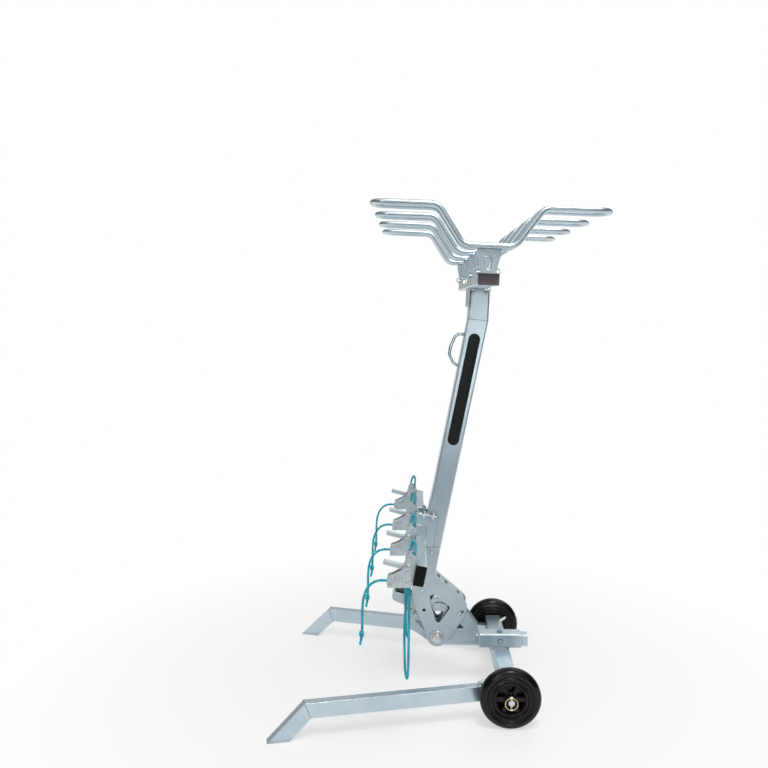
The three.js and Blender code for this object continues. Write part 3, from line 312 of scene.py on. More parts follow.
for number, pin in enumerate(cam_pins, 1):
    for part_name, route, knot_at, knot_half, turns in (
        ("loop", loop_route, loop_knot, 0.0135, 3),
        ("tail", tail_route, stopper_knot, 0.008, 2),
    ):
        points = [pin + Vector(point) / 1000 for point in route]
        rope = cord_curve(f"{part_name}_rope_{number}", points, rope_diameter, rope_braid)
        knot = knot_curve(f"{part_name}_knot_{number}", pin + knot_at, knot_half, turns, rope_braid)
        for piece in (rope, knot):
            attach(piece, "mast")
        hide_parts(f"rope_{part_name}_{number}")


# The trolley's frame: galvanised box tube, 60 mm square across and 50 x 30 mm in the legs, mitred
# at the toes and welded. Zinc lies on it in faint clouds; its corners get painted shade and its
# edges a painted highlight.

zinc_pale = (0.6, 0.7, 0.75, 1)
zinc_shaded = (0.52, 0.63, 0.69, 1)
# The pale colour painted along edges as a highlight.
painted_edge_highlight = (0.93, 0.95, 0.96, 1)
# Painted shade in corners: how far the ambient occlusion reaches and how dark it makes the colour.
corner_reach = 0.018
darkest_corner_shade = 0.35


def zinc_and_painted_light(name, pale, shaded, cloud, gloss, edge):
    """Galvanised steel: two-tone clouds, uneven gloss, painted corner shade and edge highlight."""
    finish, tree, shader = new_material(name)
    shader.inputs["Metallic"].default_value = 0.85
    place = node_in(tree, "TexCoord")
    clouds = node_in(tree, "TexNoise", Scale=cloud, Detail=4.0, Roughness=0.55)
    grain = node_in(tree, "TexNoise", Scale=130.0, Detail=2.0)
    spangle = node_in(tree, "TexVoronoi", Scale=cloud * 9, Randomness=1.0)
    tones = shade_ramp(tree, (0.34, shaded), (0.68, pale))
    flakes = node_in(tree, "MixRGB", blend_type="OVERLAY", Fac=0.05)
    gloss_range = node_in(tree, "MapRange", To_Min=gloss - 0.04, To_Max=gloss + 0.05)
    relief = node_in(tree, "Bump", Strength=0.2, Distance=0.002)
    rounded = node_in(tree, "Bevel", samples=8, Radius=edge)
    # Painted shade: ambient occlusion darkens the colour in corners and crevices.
    corner = node_in(tree, "AmbientOcclusion", samples=6, Distance=corner_reach)
    painted_corner_shade = node_in(tree, "MapRange", To_Min=darkest_corner_shade)
    corner_shaded = node_in(tree, "MixRGB", blend_type="MULTIPLY", Fac=1.0)
    # Painted highlight: where the rounded normal bends away from the true face, the colour turns
    # pale.
    true_face = node_in(tree, "NewGeometry")
    bend = node_in(tree, "VectorMath", operation="DOT_PRODUCT")
    highlight_share = node_in(tree, "MapRange", From_Min=1.0, From_Max=0.93, To_Max=0.85)
    highlighted = node_in(tree, "MixRGB", Color2=painted_edge_highlight)
    linked(
        tree,
        *((place, "Object", texture, "Vector") for texture in (clouds, grain, spangle)),
        (clouds, "Fac", tones, "Fac"),
        (tones, "Color", flakes, "Color1"),
        (spangle, "Color", flakes, "Color2"),
        (corner, "AO", painted_corner_shade, "Value"),
        (flakes, "Color", corner_shaded, "Color1"),
        (painted_corner_shade, "Result", corner_shaded, "Color2"),
        (rounded, "Normal", bend, 0),
        (true_face, "True Normal", bend, 1),
        (bend, "Value", highlight_share, "Value"),
        (highlight_share, "Result", highlighted, "Fac"),
        (corner_shaded, "Color", highlighted, "Color1"),
        (highlighted, "Color", shader, "Base Color"),
        (grain, "Fac", gloss_range, "Value"),
        (gloss_range, "Result", shader, "Roughness"),
        (clouds, "Fac", relief, "Height"),
        (rounded, "Normal", relief, "Normal"),
        (relief, "Normal", shader, "Normal"),
    )
    return finish


def refinish(material, *names):
    """Gives CAD nodes their real finish."""
    for name in names:
        for slot in frame["nodes"][name].material_slots:
            slot.material = material


tube_zinc = zinc_and_painted_light("tube_zinc", zinc_pale, zinc_shaded, cloud=9, gloss=0.29, edge=0.0025)
sides = (("left", -1), ("right", 1))
refinish(tube_zinc, "trolley_crossbeam", "leg_left", "leg_right")


def tidy(shape, sharp_degrees=32):
    """Merges doubles, turns every face outwards and keeps only the real edges sharp."""
    bmesh.ops.remove_doubles(shape, verts=shape.verts, dist=1e-6)
    bmesh.ops.recalc_face_normals(shape, faces=shape.faces)
    for face in shape.faces:
        face.smooth = True
    for edge in shape.edges:
        edge.smooth = edge.calc_face_angle(0) < math.radians(sharp_degrees)


def fitted(name, shape, material, body, slot, *nodes):
    """Makes a piece of a finished shape, which rides on its body and stands for its CAD nodes."""
    tidy(shape)
    mesh = bpy.data.meshes.new(name)
    shape.to_mesh(mesh)
    shape.free()
    mesh.materials.append(material)
    piece = bpy.data.objects.new(name, mesh)
    bpy.context.scene.collection.objects.link(piece)
    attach(piece, body)
    if nodes:
        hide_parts(*nodes)
    return piece


def rounded_path(corners, radius, closed=False, step=8):
    """Points along straight runs joined by arcs, as a bent tube's centreline goes."""
    count = len(corners)
    points = []
    for index, corner in enumerate(corners):
        if not closed and index in (0, count - 1):
            points.append(corner.copy())
            continue
        back = (corners[index - 1] - corner).normalized()
        ahead = (corners[(index + 1) % count] - corner).normalized()
        turn = math.pi - back.angle(ahead)
        centre = corner + (back + ahead).normalized() * radius / math.cos(turn / 2)
        start = corner + back * radius * math.tan(turn / 2) - centre
        axis = -back.cross(ahead).normalized()
        steps = max(3, round(math.degrees(turn) / step))
        for share in range(steps + 1):
            points.append(Matrix.Rotation(turn * share / steps, 3, axis) @ start + centre)
    return points


def swept(data):
    """The shape that a curve's bevel or fill makes; the curve itself goes."""
    holder = bpy.data.objects.new(data.name, data)
    bpy.context.scene.collection.objects.link(holder)
    bpy.context.view_layer.update()
    made = holder.evaluated_get(bpy.context.evaluated_depsgraph_get())
    mesh = bpy.data.meshes.new_from_object(made)
    shape = bmesh.new()
    shape.from_mesh(mesh)
    bpy.data.objects.remove(holder)
    bpy.data.curves.remove(data)
    bpy.data.meshes.remove(mesh)
    return shape


def bent_bar(points, radius, closed=False, around=20, ripple=0.0):
    """A round bar or tube along the points; a ripple makes it thinner at every other point."""
    data = bpy.data.curves.new("bar", "CURVE")
    data.dimensions = "3D"
    data.bevel_depth = radius
    data.bevel_resolution = around // 4
    data.use_fill_caps = not closed
    line = data.splines.new("POLY")
    line.points.add(len(points) - 1)
    line.use_cyclic_u = closed
    for index, (line_point, at) in enumerate(zip(line.points, points)):
        line_point.co = (*at, 1)
        line_point.radius = 1 - ripple * (index % 2)
    return swept(data)


def joined(*shapes):
    """Several shapes in one."""
    whole = bmesh.new()
    for shape in shapes:
        mesh = bpy.data.meshes.new("part")
        shape.to_mesh(mesh)
        whole.from_mesh(mesh)
        shape.free()
        bpy.data.meshes.remove(mesh)
    return whole


def bevelled(shape, edges, width, segments=2):
    """Takes the sharpness off some edges of a shape."""
    bmesh.ops.bevel(
        shape, geom=edges, offset=width, offset_type="OFFSET", segments=segments, profile=0.5,
        affect="EDGES", material=-1,
    )


def aimed(shape, direction, middle):
    """Turns an upright shape to a direction and moves its middle to a place."""
    turn = Vector((0, 0, 1)).rotation_difference(direction).to_matrix()
    bmesh.ops.rotate(shape, verts=shape.verts, matrix=turn)
    bmesh.ops.translate(shape, verts=shape.verts, vec=middle)
    return shape


def round_bar(start, end, radius, chamfer, steps=40):
    """A round bar between two points, with chamfered ends."""
    start, end = Vector(start), Vector(end)
    run = end - start
    shape = bmesh.new()
    bmesh.ops.create_cone(
        shape, cap_ends=True, cap_tris=False, segments=steps,
        radius1=radius, radius2=radius, depth=run.length,
    )
    rims = [edge for edge in shape.edges if abs(edge.verts[0].co.z - edge.verts[1].co.z) < 1e-7]
    bevelled(shape, rims, chamfer)
    return aimed(shape, run, (start + end) / 2)


washer_height = 0.0016
head_chamfer = 0.18


def hex_head(at, outward, flats, height, washer=0.0):
    """A chamfered hexagon bolt head that stands out from a face, on a washer of a given radius."""
    outward = Vector(outward).normalized()
    base = Vector(at)
    corners = flats / math.sqrt(3)
    shapes = []
    if washer:
        washer_top = base + outward * washer_height
        shapes.append(round_bar(base, washer_top, washer, chamfer=0.0004, steps=32))
        base = washer_top
    head = bmesh.new()
    bmesh.ops.create_cone(
        head, cap_ends=True, cap_tris=False, segments=6,
        radius1=corners, radius2=corners, depth=height,
    )
    top = [edge for edge in head.edges if min(vert.co.z for vert in edge.verts) > 0]
    bevelled(head, top, height * head_chamfer)
    return joined(*shapes, aimed(head, outward, base + outward * height / 2))


def shade_of(colour, share):
    """A colour made darker or paler, as an opaque shade."""
    return (*(share * value for value in colour), 1)


def mottled(tree, shader, coarse, fine, tones, shine, shine_from, relief):
    """Wires a finish: coarse clouds set its shade, fine ones its relief, and either its gloss."""
    place = node_in(tree, "TexCoord")
    linked(
        tree,
        (place, "Object", coarse, "Vector"),
        (place, "Object", fine, "Vector"),
        (coarse, "Fac", tones, "Fac"),
        (tones, "Color", shader, "Base Color"),
        (shine_from, "Fac", shine, "Value"),
        (shine, "Result", shader, "Roughness"),
        (fine, "Fac", relief, "Height"),
        (relief, "Normal", shader, "Normal"),
    )


def bright_finish(name, colour, gloss):
    """Plated turned steel: fine turning marks, slight clouding of its gloss."""
    finish, tree, shader = new_material(name)
    shader.inputs["Metallic"].default_value = 0.9
    clouds = node_in(tree, "TexNoise", Scale=60.0, Detail=3.0)
    marks = node_in(tree, "TexNoise", Scale=800.0, Detail=2.0)
    tones = shade_ramp(tree, (0.3, shade_of(colour, 0.75)), (0.7, shade_of(colour, 1)))
    shine = node_in(tree, "MapRange", To_Min=gloss - 0.06, To_Max=gloss + 0.1)
    relief = node_in(tree, "Bump", Strength=0.08, Distance=0.0002)
    rounded = node_in(tree, "Bevel", samples=4, Radius=0.0006)
    linked(tree, (rounded, "Normal", relief, "Normal"))
    mottled(tree, shader, clouds, marks, tones, shine, marks, relief)
    return finish


bright_steel = bright_finish("bright_steel", (0.82, 0.84, 0.85), gloss=0.28)


# Weld beads run down each leg's root on the crossbeam, round the toe's mitre and under the
# receiver. Each is a rippled fillet of zinc, darker than the tubes, laid on after the tubes were
# cut. The dark zinc is the beads' own tone; under the receiver it also stands for the shadow along
# the seam, and it makes the painted shade rings round the pivot washers and the tensioner pins.

# Dark zinc: the welds' own tone, also used as painted shade in rings round washers and pins.
weld_and_shade_pale = (0.34, 0.39, 0.41, 1)
weld_and_shade_deep = (0.24, 0.28, 0.3, 1)
weld_and_shade_zinc = zinc_and_painted_light("weld_and_shade_zinc", weld_and_shade_pale, weld_and_shade_deep, cloud=40, gloss=0.42, edge=0.0004)
bead_radius = 0.0026
bead_step = 0.0035
bead_ripple = 0.28
beam_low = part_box("trolley_crossbeam")[0]


def weld_bead(name, corners, body, radius=bead_radius, closed=False):
    """A rippled bead of weld laid along the corners, an even number of steps long."""
    stops = [Vector(corner) for corner in corners]
    runs = list(zip(stops, stops[1:] + stops[:1] if closed else stops[1:]))
    points = []
    for start, end in runs:
        steps = 2 * max(2, round((end - start).length / bead_step / 2))
        points += [start + (end - start) * share / steps for share in range(steps)]
    if not closed:
        points.append(stops[-1])
    bead = bent_bar(points, radius, closed=closed, around=8, ripple=bead_ripple)
    return fitted(name, bead, weld_and_shade_zinc, body, "zinc_tube")


leg_splay = math.radians(13.65)
leg_root = 0.250
leg_half = 0.015
leg_top = 0.12
leg_low = 0.07
knee_top = 0.65
knee_mitre = math.radians(22.5)
knee_low = knee_top - (leg_top - leg_low) * math.tan(knee_mitre)
for side_name, side in sides:
    root = side * leg_root
    for label, across in (("outer", leg_half), ("inner", -leg_half)):
        at = root + side * across / math.cos(leg_splay)
        seam = [(beam_low.x, at, leg_low), (beam_low.x, at, leg_top)]
        weld_bead(f"leg_weld_{label}_{side_name}", seam, "trolley")
    seam = [(beam_low.x, root - leg_half, leg_top), (beam_low.x, root + leg_half, leg_top)]
    weld_bead(f"leg_weld_top_{side_name}", seam, "trolley")
    along = Vector((-math.cos(leg_splay), side * math.sin(leg_splay), 0))
    across = Vector((side * math.sin(leg_splay), math.cos(leg_splay), 0))
    knee = [
        Vector((beam_low.x, root, up)) + along * run + across * half
        for run, half, up in (
            (knee_top, leg_half, leg_top), (knee_top, -leg_half, leg_top),
            (knee_low, -leg_half, leg_low), (knee_low, leg_half, leg_low),
        )
    ]
    weld_bead(f"knee_weld_{side_name}", knee, "trolley", radius=0.0012, closed=True)


# A galvanised hexagon bolt stands on each leg near its root, on its washer, and a hairpin clip
# bent from bright spring wire keeps it there.

leg_bolt_run = 0.063
leg_bolt_aside = leg_root + leg_bolt_run * math.tan(leg_splay)
clip_middle = Vector((0.012, 0, 0.009))
clip_wire = 0.0014
clip_radius = 0.009


def arc_points(radius, start, end, steps):
    """Points (across, up) along an arc about the middle, from one angle to another."""
    angles = [start + (end - start) * share / steps for share in range(steps + 1)]
    return [(radius * math.cos(angle), radius * math.sin(angle)) for angle in angles]


def ring_points(centre, arc):
    """The points of an arc, set upright about a centre and seen from the side of the rack."""
    return [centre + Vector((across, 0, up)) for across, up in arc]


clip_arc = arc_points(clip_radius, math.radians(200), math.radians(-80), 24)
for side_name, side in sides:
    foot = Vector((beam_low.x - leg_bolt_run, side * leg_bolt_aside, leg_top))
    bolt = hex_head(foot, (0, 0, 1), flats=0.017, height=0.008, washer=0.011)
    fitted(f"leg_bolt_{side_name}", bolt, tube_zinc, "trolley", "zinc_tube")
    clip = bent_bar(ring_points(foot + clip_middle, clip_arc), clip_wire, around=12)
    fitted(f"leg_clip_{side_name}", clip, bright_steel, "trolley", "bright_steel")


# The two wheels: solid black rubber tyres, 200 mm across with ribbed sidewalls, on moulded rims
# with six windows. They turn on the stub axles at the crossbeam's ends.

axle_at = {name: joint_at[f"wheel_{name}_roll"] for name, side in sides}


def turned(profile, centre, steps=72):
    """A closed outline of (radius, along) points, turned a full circle about a level axle."""
    shape = bmesh.new()
    ring = [shape.verts.new((radius, along, 0)) for radius, along in profile]
    edges = [shape.edges.new((a, b)) for a, b in zip(ring, ring[1:] + ring[:1])]
    bmesh.ops.spin(
        shape, geom=ring + edges, cent=(0, 0, 0), axis=(0, 1, 0), angle=2 * math.pi,
        steps=steps, use_merge=True, use_duplicate=False,
    )
    bmesh.ops.translate(shape, verts=shape.verts, vec=centre)
    return shape


def mirrored(profile):
    """A half profile completed with its mirror image across the wheel's middle."""
    return profile + [(radius, -along) for radius, along in reversed(profile)]


tyre_half = [
    (0.0583, 0.0150), (0.0600, 0.0185), (0.0625, 0.0199), (0.0650, 0.0182), (0.0700, 0.0184),
    (0.0715, 0.0203), (0.0740, 0.0205), (0.0756, 0.0185), (0.0800, 0.0204), (0.0835, 0.0219),
    (0.0870, 0.0220), (0.0885, 0.0208), (0.0910, 0.0200), (0.0945, 0.0180), (0.0972, 0.0150),
    (0.0990, 0.0110), (0.0997, 0.0085), (0.0985, 0.0078), (0.0985, 0.0062), (0.0999, 0.0055),
    (0.1000, 0.0018), (0.0988, 0.0010),
]
rim_half = [
    (0.0470, 0.0120), (0.0482, 0.0172), (0.0500, 0.0188), (0.0545, 0.0190), (0.0558, 0.0182),
    (0.0578, 0.0175), (0.0580, 0.0150),
]
hub_half = [
    (0.0104, 0.0240), (0.0165, 0.0240), (0.0178, 0.0230), (0.0182, 0.0060),
]

rubber, tree, shader = new_material("tyre_rubber")
shader.inputs["Specular IOR Level"].default_value = 0.3
dust = node_in(tree, "TexNoise", Scale=26.0, Detail=6.0)
skin = node_in(tree, "TexNoise", Scale=700.0, Detail=3.0)
tones = shade_ramp(tree, (0.4, (0.0025, 0.0025, 0.003, 1)), (0.75, (0.0045, 0.0045, 0.0055, 1)))
scuff = node_in(tree, "MapRange", To_Min=0.14, To_Max=0.26)
relief = node_in(tree, "Bump", Strength=0.15, Distance=0.0003)
mottled(tree, shader, dust, skin, tones, scuff, dust, relief)


def moulded_plastic(name, colour, gloss):
    """Moulded plastic with a faint grain and slight flow marks."""
    finish, tree, shader = new_material(name)
    shader.inputs["Specular IOR Level"].default_value = 0.3
    flow = node_in(tree, "TexNoise", Scale=40.0, Detail=3.0)
    grain = node_in(tree, "TexNoise", Scale=900.0, Detail=2.0)
    tones = shade_ramp(tree, (0.0, shade_of(colour, 0.8)), (1.0, shade_of(colour, 1.25)))
    sheen = node_in(tree, "MapRange", To_Min=gloss - 0.08, To_Max=gloss + 0.08)
    relief = node_in(tree, "Bump", Strength=0.1, Distance=0.0003)
    rounded = node_in(tree, "Bevel", samples=4, Radius=0.001)
    linked(tree, (rounded, "Normal", relief, "Normal"))
    mottled(tree, shader, flow, grain, tones, sheen, flow, relief)
    return finish


black_plastic = moulded_plastic("black_plastic", (0.003, 0.003, 0.0035), gloss=0.24)

window_count = 6
window_inner = 0.021
window_outer = 0.046
window_half = math.radians(21)
web_radius = 0.048
web_thickness = 0.024
skin_thickness = 0.0036
skin_depth = 0.0098
moulded_edge = 0.0008


def cut_plate(outlines, thickness, edge):
    """A flat plate with its first outline for its edge and the others cut out, lying in X and Z."""
    data = bpy.data.curves.new("plate", "CURVE")
    data.dimensions = "2D"
    data.fill_mode = "BOTH"
    data.extrude = thickness / 2 - edge
    data.bevel_depth = edge
    data.offset = -edge
    data.bevel_resolution = 1
    for outline in outlines:
        line = data.splines.new("POLY")
        line.points.add(len(outline) - 1)
        line.use_cyclic_u = True
        for line_point, (across, up) in zip(line.points, outline):
            line_point.co = (across, up, 0, 1)
    shape = swept(data)
    bmesh.ops.rotate(shape, verts=shape.verts, matrix=Matrix.Rotation(math.pi / 2, 3, "X"))
    return shape


def rim_shape(centre, side):
    """The rim's ring, hub and spokes, with a skin on the inner side that closes the pockets."""
    rim_ring = turned(mirrored(rim_half), centre)
    hub = turned(mirrored(hub_half), centre)
    windows = []
    for number in range(window_count):
        middle = math.pi / 2 + 2 * math.pi * number / window_count
        outer = arc_points(window_outer, middle - window_half, middle + window_half, 8)
        inner = arc_points(window_inner, middle + window_half / 2, middle - window_half / 2, 4)
        windows.append(outer + inner)
    web_edge = arc_points(web_radius, 0, 2 * math.pi, 72)[:-1]
    web = cut_plate([web_edge, *windows], web_thickness, moulded_edge)
    skin = cut_plate([web_edge], skin_thickness, moulded_edge)
    bmesh.ops.translate(web, verts=web.verts, vec=centre)
    bmesh.ops.translate(skin, verts=skin.verts, vec=centre - Vector((0, side * skin_depth, 0)))
    return joined(rim_ring, hub, web, skin)


for side_name, side in sides:
    centre = axle_at[side_name]
    fitted(f"tyre_ribbed_{side_name}", turned(mirrored(tyre_half), centre, steps=96), rubber,
           f"wheel_{side_name}", "black_rubber", f"tyre_{side_name}")
    fitted(f"rim_moulded_{side_name}", rim_shape(centre, side), black_plastic,
           f"wheel_{side_name}", "black_plastic", f"rim_{side_name}")


# The axle stubs are bright turned steel, each welded on a square plate that closes the crossbeam's
# end. A yellow zinc linch pin drops through each, and its spring ring snaps down round the stub.

yellow_zinc = bright_finish("yellow_zinc", (0.8, 0.71, 0.42), gloss=0.28)
axle_radius = 0.010
end_plate_size = (0.06, 0.006, 0.06)
end_plate_corner = 0.005
end_plate_at = 0.2867
end_plate_up = 0.112
axle_end = 0.3533
linch_at = 0.3446
linch_radius = 0.003
linch_below = 0.013
linch_head_radius = 0.005
linch_head_half = 0.0055
linch_ring_at = 0.3497
linch_ring_radius = 0.020
linch_ring_drop = 0.004
linch_ring_play = 0.0012
linch_wire = 0.0018
ring_gap = math.asin((linch_head_half + linch_ring_play) / linch_ring_radius)
ring_arc = arc_points(linch_ring_radius, math.pi / 2 - ring_gap, ring_gap - math.pi * 1.5, 48)


def cross_bar(at, start, end, radius, chamfer, steps=40):
    """A round bar that lies across the rack, between two distances from the rack's middle."""
    return round_bar((at.x, start, at.z), (at.x, end, at.z), radius, chamfer, steps)


for side_name, side in sides:
    centre = axle_at[side_name]
    end_plate = bmesh.new()
    bmesh.ops.create_cube(end_plate, size=1)
    bmesh.ops.scale(end_plate, verts=end_plate.verts, vec=end_plate_size)
    corner_edges = [
        edge for edge in end_plate.edges if abs(edge.verts[0].co.y - edge.verts[1].co.y) > 1e-4
    ]
    bevelled(end_plate, corner_edges, end_plate_corner, segments=4)
    plate_middle = (centre.x, side * end_plate_at, end_plate_up)
    bmesh.ops.translate(end_plate, verts=end_plate.verts, vec=plate_middle)
    stub = cross_bar(centre, side * end_plate_at, side * axle_end, axle_radius, chamfer=0.0012)
    fitted(f"axle_{side_name}", joined(end_plate, stub), bright_steel, "trolley", "bright_steel",
           f"stub_axle_{side_name}")
    ring_joint = joint_at[f"ring_{side_name}_open"]
    shank_end = (centre.x, side * linch_at, centre.z - axle_radius - linch_below)
    shank_top = (centre.x, side * linch_at, ring_joint.z)
    shank = round_bar(shank_end, shank_top, linch_radius, chamfer=0.0009, steps=24)
    barrel_ends = [
        (centre.x + end * linch_head_half, ring_joint.y, ring_joint.z) for end in (-1, 1)
    ]
    barrel = round_bar(*barrel_ends, linch_head_radius, chamfer=0.0008, steps=28)
    fitted(f"linch_{side_name}", joined(shank, barrel), yellow_zinc, "trolley", "yellow_zinc",
           f"linch_pin_{side_name}")
    ring_middle = Vector((centre.x, side * linch_ring_at, centre.z - linch_ring_drop))
    ring = bent_bar(ring_points(ring_middle, ring_arc), linch_wire, around=12)
    fitted(f"spring_ring_{side_name}", ring, yellow_zinc,
           f"ring_{side_name}", "yellow_zinc", f"linch_ring_{side_name}")


# The receiver and the hitch bar: square galvanised tube, the bar 42 mm and the receiver 52 mm with
# the clamp screw's nut welded on top. A bent pin holds the bar, and a bent screw presses on it.

refinish(tube_zinc, "receiver_tube", "stinger_tube")
hitch_height = 0.1683
receiver_x = joint_at["clamp_screw_turn"].x
receiver_half = 0.026
pin_near = -receiver_half - 0.002
pin_far = receiver_half + 0.016
pin_arm = 0.058
hitch_pin_radius = 0.0065
pin_path = rounded_path([
    Vector((receiver_x, pin_near, hitch_height)),
    Vector((receiver_x, pin_far, hitch_height)),
    Vector((receiver_x - pin_arm, pin_far, hitch_height)),
], radius=0.014)
hitch_pin = bent_bar(pin_path, hitch_pin_radius, around=24)
fitted("bent_hitch_pin", hitch_pin, bright_steel, "hitch_pin", "bright_steel", "hitch_pin")
screw_foot = Vector((receiver_x, 0, hitch_height + 0.0213))
screw_bend = Vector((receiver_x, 0, hitch_height + receiver_half + 0.038))
arm_angle = math.radians(56)
screw_reach = 0.042
screw_radius = 0.004
screw_arm = screw_reach * Vector((math.cos(arm_angle), math.sin(arm_angle), 0))
screw_path = rounded_path([screw_foot, screw_bend, screw_bend + screw_arm], radius=0.009)
clamp_screw = bent_bar(screw_path, screw_radius, around=24)
fitted("bent_clamp_screw", clamp_screw, bright_steel, "clamp_screw", "bright_steel", "clamp_screw")
# Painted shadow: a thin black ring round each end of the hitch pin, where the gap in its bore lies
# in shade.
bore_radius = 0.0078
bore_stand = 0.0002
bore_wire = 0.0009
bore_arc = arc_points(bore_radius, 0, 2 * math.pi, 24)[:-1]
# Under the receiver, the weld bead's dark zinc also stands for the shadow along the seam.
receiver_weld_half = 0.028
receiver_weld_up = 0.143
for side_name, side in sides:
    bore = Vector((receiver_x, side * (receiver_half + bore_stand), hitch_height))
    bore_shadow_ring = bent_bar(ring_points(bore, bore_arc), bore_wire, closed=True, around=8)
    fitted(f"bore_shadow_ring_{side_name}", bore_shadow_ring, black_plastic, "trolley", "black_plastic")
    seam = [
        (receiver_x + end * receiver_weld_half, side * receiver_half, receiver_weld_up)
        for end in (-1, 1)
    ]
    weld_bead(f"receiver_weld_{side_name}", seam, "trolley")


# The tilt pivot: two laser-cut base plates welded to the hitch bar and the folded tilt bracket
# round the mast's foot, on one thick bolt with broad washers. Thin dark zinc rings just outside
# each washer and bolt head are painted shade. A latch pin runs in the bracket's slots, and a round
# spacer ties the base plates together.

plate_pale = (0.56, 0.64, 0.68, 1)
plate_shaded = (0.49, 0.57, 0.61, 1)
plate_zinc = zinc_and_painted_light("plate_zinc", plate_pale, plate_shaded, cloud=16, gloss=0.34, edge=0.002)
refinish(plate_zinc, "base_plate_left", "base_plate_right", "tilt_bracket", "foot_pedal")

bolt_start = -0.0556
bolt_end = 0.0559
boss_face = 0.0406
washer_face = 0.0436
bolt_radius = 0.010
broad_washer = 0.023
pivot_parts = [cross_bar(pivot, bolt_start, bolt_end, bolt_radius, chamfer=0.001)]
for side_name, side in sides:
    face = side * washer_face
    pivot_parts.append(cross_bar(pivot, side * boss_face, face, broad_washer, 0.0006, steps=56))
    pivot_parts.append(hex_head((pivot.x, face, pivot.z), (0, side, 0), flats=0.030, height=0.0105))
fitted("tilt_bolt", joined(*pivot_parts), bright_steel, "trolley", "bright_steel", "pivot_bolt")
# Painted shade: thin dark rings just outside each broad washer and each bolt head.
shade_ring_skin = 0.0003
shade_ring_sizes = ((0.0405, 0.0242), (washer_face, 0.0188))
bolt_shade_rings = [
    cross_bar(pivot, side * start, side * (start + shade_ring_skin), radius, 0.0001, steps=56)
    for side_name, side in sides for start, radius in shade_ring_sizes
]
fitted("tilt_bolt_shade_rings", joined(*bolt_shade_rings), weld_and_shade_zinc, "trolley", "zinc_tube")
for name, body in (("latch_pin", "latch"), ("base_spacer", "trolley")):
    low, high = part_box(name)
    rod = cross_bar((low + high) / 2, low.y, high.y, (high.z - low.z) / 2, chamfer=0.0008)
    fitted(f"{name}_turned", rod, bright_steel, body, "bright_steel", name)


# Four hexagon bolts a side clamp the tilt bracket's cheeks round the mast's foot. A black plug
# closes each end of the bore for the pedal's hinge pin.

bracket_face = 0.0403
bracket_bolts = [
    ("rear", -0.079, 0.08), ("front", 0.0815, 0.09),
    ("middle", -0.0548, 0.1716), ("top", -0.0215, 0.3095),
]
plug_x = -0.0471
plug_up = 0.0991
plug_stand = 0.0008
plug_radius = 0.0055


def bright_bolt(name, at, outward, flats, height, washer=0.0):
    """A bright bolt head or nut on the mast or on what moves with it."""
    fitted(name, hex_head(at, outward, flats, height, washer), bright_steel, "mast", "bright_steel")


for side_name, side in sides:
    for label, x, up in bracket_bolts:
        at = pivot + Vector((x, side * bracket_face, up))
        bright_bolt(f"bracket_bolt_{label}_{side_name}", at, (0, side, 0), flats=0.01, height=0.004)
for side_name, side in sides:
    at = pivot + Vector((plug_x, side * bracket_face, plug_up))
    plug = cross_bar(at, at.y, at.y + side * plug_stand, plug_radius, chamfer=0.0003, steps=24)
    fitted(f"bracket_plug_{side_name}", plug, black_plastic, "mast", "black_plastic")


# The foot pedal's tread has a strip of black rubber glued in its channel, with round ribs across
# it that keep a wet shoe from slipping.

refinish(rubber, "pedal_grip")
tread_nose = pivot + Vector((-0.1547, 0, 0.1651))
tread_heel = pivot + Vector((-0.0981, 0, 0.1493))
tread_up = Matrix.Rotation(-math.pi / 2, 3, "Y") @ (tread_heel - tread_nose).normalized()
rib_half = 0.029
rib_rise = 0.0038
rib_radius = 0.0013
rib_shares = [0.15 + 0.077 * number for number in range(11)]
ribs = []
for share in rib_shares:
    crest = tread_nose.lerp(tread_heel, share) + tread_up * rib_rise
    rib_ends = (crest.y - rib_half, crest.y + rib_half)
    ribs.append(cross_bar(crest, *rib_ends, rib_radius, chamfer=0.0003, steps=12))
fitted("pedal_ribs", joined(*ribs), rubber, "pedal", "black_rubber")


# The mast: 70 mm square galvanised tube, mitred and welded near the top, with a bent rod handle on
# the side of the wheel cradles. A plain dark strip with round ends is stuck on each side.

mast_lean = math.radians(11.2)
mast_offset = 0.087
mast_half = 0.035
mast_bend = 1.138
top_lean = math.radians(2.5)
top_length = 0.101
mast_up = Vector((math.sin(mast_lean), 0, math.cos(mast_lean)))
mast_out = Vector((-math.cos(mast_lean), 0, math.sin(mast_lean)))
head_up = Vector((math.sin(top_lean), 0, math.cos(top_lean)))
head_right = Vector((math.cos(top_lean), 0, -math.sin(top_lean)))


def on_mast(up, out, side=0.0):
    """A place by its distance up the mast from the pivot, out from its axis, and across."""
    return pivot + mast_up * up + mast_out * (mast_offset + out) + Vector((0, side, 0))


head_top = on_mast(mast_bend, 0) + head_up * top_length


def on_head(right, side, up):
    """A place by its distance from the middle of the mast's top face."""
    return head_top + head_right * right + head_up * up + Vector((0, side, 0))


refinish(tube_zinc, "mast_tube")
mitre_rise = mast_half * math.tan((mast_lean - top_lean) / 2)
mitre_corners = [
    on_mast(mast_bend - out * mitre_rise, out * mast_half, side * mast_half)
    for out, side in ((1, -1), (-1, -1), (-1, 1), (1, 1))
]
weld_bead("mast_mitre_weld", mitre_corners, "mast", radius=0.0014, closed=True)
handle_shares = [
    (1, 0), (0.98, 0.17), (0.87, 0.27), (0.55, 0.335), (0.3, 0.33), (0.08, 0.18), (0, 0),
]
handle_size = 0.113
handle_middle = 1.023
handle_bend = 0.012
handle_rod = 0.0055
handle_foot = mast_half + 0.0004
handle_corners = [
    on_mast(handle_middle + (up - 0.5) * handle_size, handle_foot + out * handle_size)
    for up, out in handle_shares
]
rod_zinc = zinc_and_painted_light("rod_zinc", zinc_pale, zinc_shaded, cloud=20, gloss=0.17, edge=0.0006)
handle_shape = bent_bar(rounded_path(handle_corners, handle_bend), handle_rod, around=24)
